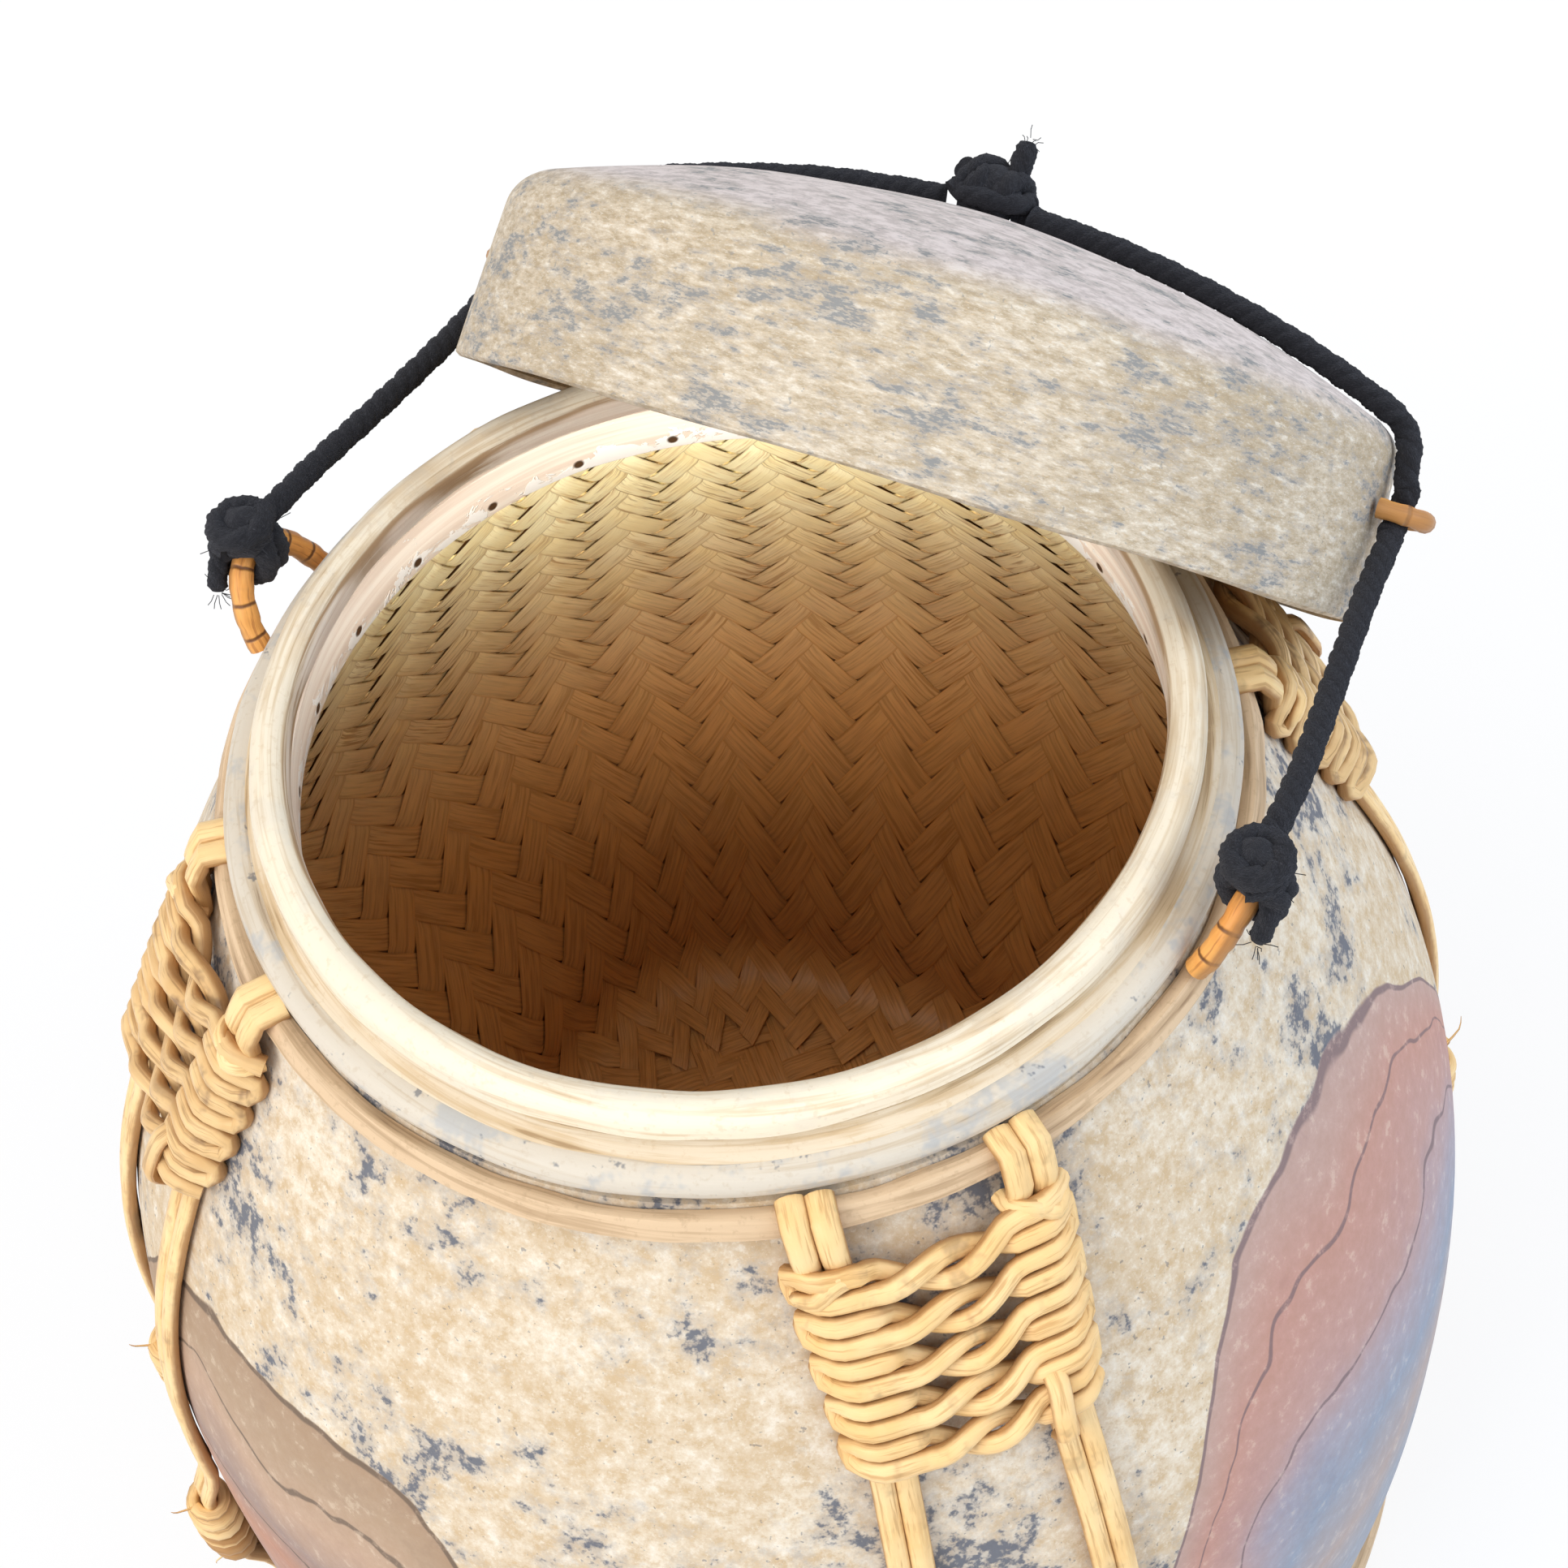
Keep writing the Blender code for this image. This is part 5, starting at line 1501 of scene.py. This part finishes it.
    def pad_route(self, azimuth: float) -> list[Vector]:
        """Route of a pad's strand: rows to and fro, each two twisted round each other between the straps."""
        pitch = (self.pad_foot - self.pad_top) / (self.rows - 1)
        over = self.canes_top + AIR + self.strand
        edge = self.canes_edge + self.strand
        route = []
        for row in range(self.rows):
            direction = 1.0 if row % 2 == 0 else -1.0
            phase = 0.0 if row % 2 == 0 else math.pi
            drop = self.pad_top + pitch * row
            centre = drop + direction * pitch / 2.0
            reach = self.spread(drop) + edge
            inner = self.spread(drop) - self.turn_in
            line = []
            for sideways in np.linspace(-1.0, 1.0, 33) * reach:
                if abs(sideways) >= inner:
                    beyond = (abs(sideways) - inner) / (reach - inner)
                    off = over - 0.0034 * max(beyond - 0.55, 0.0) ** 1.6 / 0.45 ** 1.6
                    line.append((sideways, drop, off + 0.0004 * math.sin(math.pi * beyond)))
                else:
                    turn = phase + math.pi * (sideways + inner) / inner
                    sway = smooth((inner - abs(sideways)) / self.turn_in)
                    height = centre - math.cos(turn) * pitch / 2.0
                    line.append((sideways, height + self.dip * (1.0 - (sideways / inner) ** 2),
                                 over - 0.0014 * sway + math.sin(turn) * self.strand * 0.95 * sway))
            route += [on_shell(azimuth, *point) for point in line[::int(direction)]]
            if row < self.rows - 1:
                route += [on_shell(azimuth, direction * reach, drop + pitch * share, over - 0.0042)
                          for share in (0.35, 0.65)]
        return route

    def pad(self, name: str, azimuth: float, index: int) -> None:
        """Woven shoulder pad."""
        strand = Strand(oval(2.0 * self.strand, 1.8 * self.strand, 10), up=away_from_axis, seed=19.0 * index,
                        scale=lambda s: 1.0 + 0.06 * math.sin(97.0 * s) + 0.05 * math.sin(41.0 * s + 1.0))
        tail = [on_shell(self.strap_azimuth(azimuth, -1.0, down), 0.0030, down, off)
                for down, off in ((0.0480, 0.0044), (0.0500, 0.0076), (0.0560, 0.0078), (0.0590, 0.0072),
                                  (0.0606, 0.0040))]
        pieces = [strand.lay("weft", self.pad_route(azimuth), 0.0014),
                  Strand(oval(0.0038, 0.0022, 10), up=away_from_axis, seed=5.0).lay("tail", tail, 0.0012)]
        finish = Finish.AGED_CANE if name in ("back_right", "front_left") else Finish.GOLDEN_CANE
        place(joined("cane_pad_%s" % name, pieces), Body.POT, "pale_cane", finish, "pad_%s" % name)


@dataclass
class Lid:
    """Lid: wall, shoulder and crown, lining, hoop and side loops, at its open place."""

    rough: Size = (0.0006, 0.030, 4.0)
    lining_radius: float = 0.0708
    lining_thick: float = 0.0014
    loop_half: float = 0.0052
    loop_neck: float = 0.0018          # length of its straight part

    def build(self) -> None:
        """Model the wall and the crown, then the inside and the loops."""
        self.where = LID.matrix()
        wall = LID.wall
        sides = [(LID.side_radius(up), up) for up in np.linspace(0.0012, LID.wall_height, 10)]
        skirt = [(LID.radius - 0.0001, 0.0005), (LID.radius - 0.0008, 0.0), (LID.radius - wall + 0.0007, 0.0),
                 (LID.radius - wall, 0.0006)]
        outline = (LID.shoulder(0.0)[:0:-1] + sides[::-1] + skirt
                   + [(radius - wall, up) for radius, up in sides] + LID.shoulder(wall)[1:])
        piece = turned("lid_band", outline, ROUND, self.where, self.rough)
        place(piece, Body.LID, "lid_paint", Finish.LID, "lid_wall", "lid_shoulder")
        outline = self.tucked(LID.crown(0.0)) + self.tucked(LID.crown(wall))[::-1]
        piece = turned("lid_dome", outline, 160, self.where, self.rough)
        place(piece, Body.LID, "lid_paint", Finish.LID, "lid_crown")
        self.inside()
        self.loops()

    @staticmethod
    def tucked(outline: Outline) -> Outline:
        """An outline whose edge is tucked into the shoulder, so that no slit shows at the seam."""
        radius, up = outline[0]
        return [(radius + 0.0004, up - 0.0004), (radius - 0.0001, up)] + outline[1:]

    def inside(self) -> None:
        """Lining under the crown and the hoop that holds it."""
        lining, below = ([point for point in LID.crown(LID.wall + AIR + deep) if point[0] < self.lining_radius]
                         for deep in (0.0, self.lining_thick))
        piece = turned("lid_inner_lining", lining + below[::-1], 96, self.where)
        place(piece, Body.LID, "plaited_bamboo", Finish.WEAVE, "lid_lining")
        outer = LID.side_radius(0.0150) - LID.wall - LID.taper - AIR
        seat, top = below[0][0], below[0][1] - 2.0 * AIR
        piece = turned("lid_inner_ring", [(outer, 0.0161), (outer - 0.0003, 0.0152), (outer - 0.0015, 0.0152),
                                          (outer - 0.0018, 0.0160), (outer - 0.0018, LID.wall_height),
                                          (seat - 0.0018, top), (seat, top), (outer, LID.wall_height)],
                       128, self.where)
        place(piece, Body.LID, "hoop_wood", Finish.RIM, "lid_inner_hoop")

    def loops(self) -> None:
        """Cane loop on each side, which the cord runs through."""
        height, half = LID.loop_height, self.loop_half
        wall = LID.side_radius(height) + AIR
        for word, side in SIDES:
            bend = [math.pi / 2.0 - math.pi * step / 12.0 for step in range(13)]
            points = [(0.0, half)] + [(self.loop_neck + half * math.cos(a), half * math.sin(a)) for a in bend]
            points = [self.where @ Vector((side * (wall + out), along, height))
                      for out, along in points + [(0.0, -half)]]
            strand = Strand(oval(0.0034, 0.0033, 12), seed=side,
                            scale=lambda s: 1.0 + 0.07 * math.sin(34.0 * s))
            piece = strand.lay("lid_eye_%s" % word, points, 0.0008)
            place(piece, Body.LID, "orange_cane", Finish.ORANGE_CANE, "lid_loop_%s" % word)


@dataclass
class Cords:
    """Black twisted cord, its knots, and the cane lugs that it is tied to."""

    radius: float = 0.0022
    lug_axis: float = 0.2416
    lug_root: float = 0.0823
    lug_foot: float = 0.2262
    lug_half: float = math.radians(6.8)
    lug_drop: float = 0.0034           # from the knot's middle to the lug's crown
    knot_reach: float = 0.0868
    lay_turns: float = 105.0           # twist of the strands, in turns per metre
    seed: int = 3

    def section(self, size: float) -> Outline:
        """Three soft lobes, as twisted strands show at a cut."""
        reaches = [(self.radius * size * (0.86 + 0.14 * abs(math.cos(1.5 * angle)) ** 0.7), angle)
                   for angle in around(24, 24)]
        return [(reach * math.cos(angle), reach * math.sin(angle)) for reach, angle in reaches]

    def rope(self, name: str, points: Sequence[Vector], size: float = 1.0, ends: float = 1.0) -> Piece:
        """Twisted cord along a path.

        Args:
            name: Name of the piece.
            points: Points that it passes through.
            size: Thickness, as a share of the whole cord's.
            ends: Thickness of its ends, as a share of its middle's.

        Returns:
            The new piece.
        """
        strand = Strand(self.section(size), twist=self.lay_turns,
                        scale=lambda s: ends + (1.0 - ends) * smooth(min(s, 1.0 - s) / 0.08)
                        + 0.035 * math.sin(61.0 * s + 9.0 * size))
        return strand.lay(name, points, 0.0008)

    @staticmethod
    def core(centre: Vector, radius: float) -> Piece:
        """Lump of cord inside a knot.

        Args:
            centre: Its middle.
            radius: Its radius, before it is roughened.

        Returns:
            The new piece.
        """
        piece = primitive("uv_sphere", "core", centre, segments=28, ring_count=16, radius=radius)
        bpy.ops.object.transform_apply(location=True, rotation=True, scale=True)
        roughen(piece, 0.0009, 0.0028, 5.0)
        piece.data.attributes.new("crest", "FLOAT", "POINT")
        smooth_shade(piece, 60.0)
        return piece

    @staticmethod
    def fuzz(centre: Vector, reach: float, count: int, rng: np.random.Generator) -> list[Piece]:
        """Short loose fibres round a point.

        Args:
            centre: The point.
            reach: Distance from it where they come out.
            count: How many.
            rng: Random draws.

        Returns:
            The new pieces.
        """
        hairs = []
        for _ in range(count):
            direction = Vector(rng.normal(size=3)).normalized()
            start = centre + direction * reach * 0.75
            bend = Vector(rng.normal(size=3)).normalized() * 0.0009
            tip = centre + direction * (reach + 0.0008 + 0.0014 * rng.random()) + bend
            path = [start, (start + tip) / 2.0 + bend * 0.4, tip]
            hairs.append(Strand(oval(0.00016, 0.00016, 3)).lay("fibre", path))
        return hairs

    def build(self) -> None:
        """Model lugs, knots, legs, runs and the cord over the lid."""
        rng = np.random.default_rng(self.seed)
        for word, side in SIDES:
            self.lug(word, side)
            self.lug_knot(word, side, rng)
            self.leg(word, side)
            self.run(word, side)
            self.over_lid(word, side)
        self.centre_knot(rng)

    def lug(self, word: str, side: float) -> None:
        """Cane lug."""
        tall = self.lug_axis - self.lug_drop - self.lug_foot
        points = []
        for share in (-1.0 + step / 8.0 for step in range(17)):
            up = 1.0 - share ** 2
            radius = self.lug_root + (self.knot_reach - self.lug_root) * up ** 0.8
            points.append(polar(radius, side * math.pi / 2.0 + self.lug_half * share * (1.0 + 0.12 * up),
                                self.lug_foot + tall * up))
        strand = Strand(oval(0.0040, 0.0040, 14), seed=4.0 * side,
                        scale=lambda s: 1.0 + 0.05 * math.sin(43.0 * s) + 0.03 * math.sin(90.0 * s))
        piece = strand.lay("cane_lug_%s" % word, points, 0.0009)
        place(piece, Body.POT, "orange_cane", Finish.ORANGE_CANE, "lug_loop_%s" % word)

    def lug_knot(self, word: str, side: float, rng: np.random.Generator) -> None:
        """Knot round the lug's crown: two turns over the cane, a locking turn round them, and a short tail."""
        middle = Vector((side * self.knot_reach, 0.0, self.lug_axis))
        turns = [middle + Vector((side * 0.0041 * math.sin(angle), -0.0030 + 0.0060 * step / 24.0,
                                  0.0041 * math.cos(angle) - self.lug_drop))
                 for step, angle in enumerate(around(25, 12.0))]
        lock = [middle + Vector((side * 0.0036 * math.sin(angle), 0.0042 * math.cos(angle),
                                 0.0022 + 0.0013 * math.sin(angle * 0.5))) for angle in around(19, 12.0)]
        tail = [middle + Vector((side * out, along, up)) for out, along, up in
                ((0.001, 0.002, 0.0), (0.0035, -0.0035, -0.0035), (0.0030, -0.0070, -0.0075))]
        pieces = [self.rope("turns", turns, 0.95), self.rope("lock", lock, 0.95),
                  self.rope("tail", tail, 0.80, 0.6), self.core(middle + Vector((0.0, 0.0, 0.0008)), 0.0046)]
        pieces += self.fuzz(middle, 0.0055, 8, rng) + self.fuzz(tail[-1], 0.0012, 9, rng)
        place(joined("cord_knot_%s" % word, pieces), Body.POT, "black_cord", Finish.CORD, "lug_knot_%s" % word)

    def leg(self, word: str, side: float) -> None:
        """Leg of the cord from the lug's knot to the lid's loop."""
        start = Vector((side * self.knot_reach, 0.0, self.lug_axis))
        whole = LID.cord_point(side) - start
        points = [start + whole * share + Vector((side * out, 0.0, -down))
                  for share, out, down in ((0.055, 0.0, 0.0), (0.25, 0.0006, 0.0006), (0.5, 0.0002, 0.0011),
                                           (0.75, -0.0003, 0.0007), (0.935, 0.0, 0.0))]
        path = curve_through(points, 0.0008)
        piece = self.rope("cord_length_%s" % word, points)
        place(piece, Body.LEGS, "black_cord", Finish.CORD, "cord_leg_%s" % word)
        total = sum((b - a).length for a, b in zip(path, path[1:]))
        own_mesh(piece)

    def run(self, word: str, side: float) -> None:
        """Stretch of the cord inside the lid's loop, bent from the leg's line to the wall's."""
        middle = LID.cord_point(side)
        to_lug = (Vector((0.0, 0.0, self.lug_axis)) - Vector(LID.pivot)).normalized()
        up_wall = Vector((0.0, math.sin(LID.tilt), math.cos(LID.tilt)))
        points = [middle + way * reach for way, reach in
                  ((to_lug, 0.0058), (to_lug, 0.0028), (up_wall, 0.0004), (up_wall, 0.0026), (up_wall, 0.0048))]
        piece = self.rope("cord_bend_%s" % word, points)
        place(piece, Body.RUNS, "black_cord", Finish.CORD, "cord_run_%s" % word)

    def over_lid(self, word: str, side: float) -> None:
        """Cord from a side loop up the wall, over the shoulder and across the crown to the middle knot."""
        off = self.radius + 0.0001
        line = np.array(LID.shoulder(0.0)[2::3] + LID.crown(0.0)[2:15:2])
        points = [(LID.side_radius(LID.loop_height) + 0.0029, LID.loop_height + 0.0042),
                  (LID.side_radius(0.0255) + off, 0.0258), *(line - left_normals(line) * off)]
        placed = [Vector((side * radius, 0.0004 * math.sin(9.0 * index), up))
                  for index, (radius, up) in enumerate(points)] + [Vector((side * 0.0080, 0.0, LID_APEX + off))]
        piece = self.rope("cord_over_lid_%s" % word, [LID.matrix() @ point for point in placed])
        place(piece, Body.LID, "black_cord", Finish.CORD, "lid_cord_%s" % word)

    def centre_knot(self, rng: np.random.Generator) -> None:
        """Knot on the lid's middle: a wound lump with a short upright stub."""
        where = LID.matrix()

        def local(x: float, y: float, z: float) -> Vector:
            """Point in the lid's frame above the crown's middle."""
            return where @ Vector((x, y, LID_APEX + z))

        wound = [local(-0.0062 + 0.0124 * step / 30.0, 0.0035 * math.sin(angle),
                       0.0046 + 0.0030 * math.cos(angle)) for step, angle in enumerate(around(31, 12.0))]
        belt = [local(0.0060 * math.cos(angle), 0.0046 * math.sin(angle), 0.0044 + 0.0014 * math.sin(angle))
                for angle in around(17, 13.0)]
        cross = [local(-0.0062, -0.0030, 0.0030), local(-0.002, 0.0, 0.0092), local(0.0060, 0.0034, 0.0036)]
        stub = [local(0.0028, 0.0, 0.0070), local(0.0032, 0.0, 0.0105), local(0.0030, 0.0006, 0.0142)]
        pieces = [self.rope("wound", wound, 0.95), self.rope("belt", belt, 0.85),
                  self.rope("cross", cross, 0.9), self.rope("stub", stub, 0.95, 0.7),
                  self.core(local(0.0, 0.0, 0.0046), 0.0050)]
        pieces += self.fuzz(local(0.0, 0.0, 0.0048), 0.0066, 12, rng) + self.fuzz(stub[-1], 0.0016, 10, rng)
        place(joined("cord_knot_middle", pieces), Body.LID, "black_cord", Finish.CORD, "lid_cord_knot")


@dataclass
class Studio:
    """Camera, soft light and pale floor."""

    azimuth: float = math.radians(34.1)
    elevation: float = math.radians(52.0)
    distance: float = 0.4623
    yaw: float = math.radians(-0.9)
    pitch: float = math.radians(1.8)
    roll: float = math.radians(-9.8)
    focal: float = 3700.0              # in pixels of a frame 1932 pixels wide
    frame_size: float = 1932.0
    sensor: float = 36.0
    floor_drop: float = 0.0002
    aim: Size = (0.0, 0.0, 0.18)       # of the lamps
    inside: tuple[tuple[float, tuple[str, ...]], ...] = (      # watts, and the pieces that they light
        (38.0, ("basket_strips", "basket_layer")), (27.0, ("mouth_hoop",)), (5.5, ("mouth_rim",)))

    def build(self) -> None:
        """Set up the view and the light: a low key lamp from the front left, and two weaker ones."""
        self.camera()
        self.floor()
        self.lamp("key", (-0.42, -1.20, 0.90), 0.75, 10.0, (1.0, 0.985, 0.96))
        self.lamp("top", (-0.15, -0.30, 1.70), 0.8, 6.0, (1.0, 0.99, 0.97))
        self.lamp("fill", (1.00, 0.35, 0.95), 1.2, 8.8, (0.66, 0.81, 1.0))
        self.world()
        bpy.context.scene.view_settings.view_transform = "Standard"

    def camera(self) -> None:
        """Camera at the measured place and angle."""
        level = math.cos(self.elevation)
        position = Vector((math.sin(self.azimuth) * level, -math.cos(self.azimuth) * level,
                           math.sin(self.elevation)))
        right = Vector((math.cos(self.azimuth), math.sin(self.azimuth), 0.0))
        view = Matrix((right, (-position).cross(right), -position))
        view = (Matrix.Rotation(self.roll, 3, "Z") @ Matrix.Rotation(self.pitch, 3, "X")
                @ Matrix.Rotation(self.yaw, 3, "Y") @ view)
        axes = Matrix((view[0], -view[1], -view[2])).transposed()
        data = bpy.data.cameras.new("photo_camera")
        data.sensor_fit = "HORIZONTAL"
        data.sensor_width = self.sensor
        data.lens = self.focal / self.frame_size * self.sensor
        data.clip_start = 0.01
        camera = bpy.data.objects.new("photo_camera", data)
        place_at = position * self.distance + Vector((0.0, 0.0, FORM.mouth))
        camera.matrix_world = Matrix.Translation(place_at) @ axes.to_4x4()
        bpy.context.scene.collection.objects.link(camera)
        bpy.context.scene.camera = camera

    def floor(self) -> None:
        """Plain white floor that keeps the object's shadow."""
        floor = primitive("plane", "studio_floor", (0.0, 0.0, -self.floor_drop), size=6.0)
        shader = Shader("floor_white")
        shader.set_base({"Base Color": (0.86, 0.87, 0.90), "Roughness": 0.9})
        glow = shader.term("ShaderNodeEmission", {"Color": WHITE, "Strength": 1.02})
        x, y, _ = shader.split(shader.coords())
        share = shader.seen() * x.reach(y).step(0.15, 0.60, 1.0, 0.80)
        plain = Term(shader, shader.base.outputs[0])
        surface = shader.term("ShaderNodeMixShader", {0: share, 1: plain, 2: glow})
        shader.feed(shader.tree.nodes["Material Output"].inputs["Surface"], surface)
        floor.data.materials.append(shader.owner)

    def lamp(self, name: str, at: Size, size: float, watts: float, colour: Colour) -> Piece:
        """Square area lamp aimed at the pot.

        Args:
            name: Its name.
            at: Its place.
            size: Length of its sides.
            watts: Its power.
            colour: Its colour.

        Returns:
            The new lamp.
        """
        data = bpy.data.lights.new(name, "AREA")
        data.size = size
        data.energy = watts
        data.color = colour
        lamp = bpy.data.objects.new(name, data)
        lamp.location = at
        lamp.rotation_euler = (Vector(self.aim) - Vector(at)).to_track_quat("-Z", "Y").to_euler()
        bpy.context.scene.collection.objects.link(lamp)
        return lamp

    def light_inside(self) -> None:
        """Large soft lamps on the camera's side, each of which lights only its own pieces."""
        for watts, pieces in self.inside:
            lamp = self.lamp("inside", (0.55, -0.96, 0.82), 0.8, watts, (1.0, 0.98, 0.92))
            group = bpy.data.collections.new("lit_inside")
            for name in pieces:
                group.objects.link(bpy.data.objects[name])
            lamp.light_linking.receiver_collection = group

    @staticmethod
    def world() -> None:
        """White surround, dimmer as light than as background."""
        bpy.context.scene.world = bpy.data.worlds.new("studio")
        shader = Shader("studio", bpy.context.scene.world)
        shader.set_base({"Color": WHITE, "Strength": shader.seen().step(0.0, 1.0, 1.0, 0.62)})


def main() -> None:
    """Build the studio, then every piece, then the lamps that need the pieces."""
    logging.basicConfig(level=logging.INFO, format="%(message)s")
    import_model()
    studio = Studio()
    studio.build()
    for part in (Pot(), Basket(), Harness(), Lid(), Cords()):
        part.build()
    studio.light_inside()


if __name__ == "__main__":
    main()
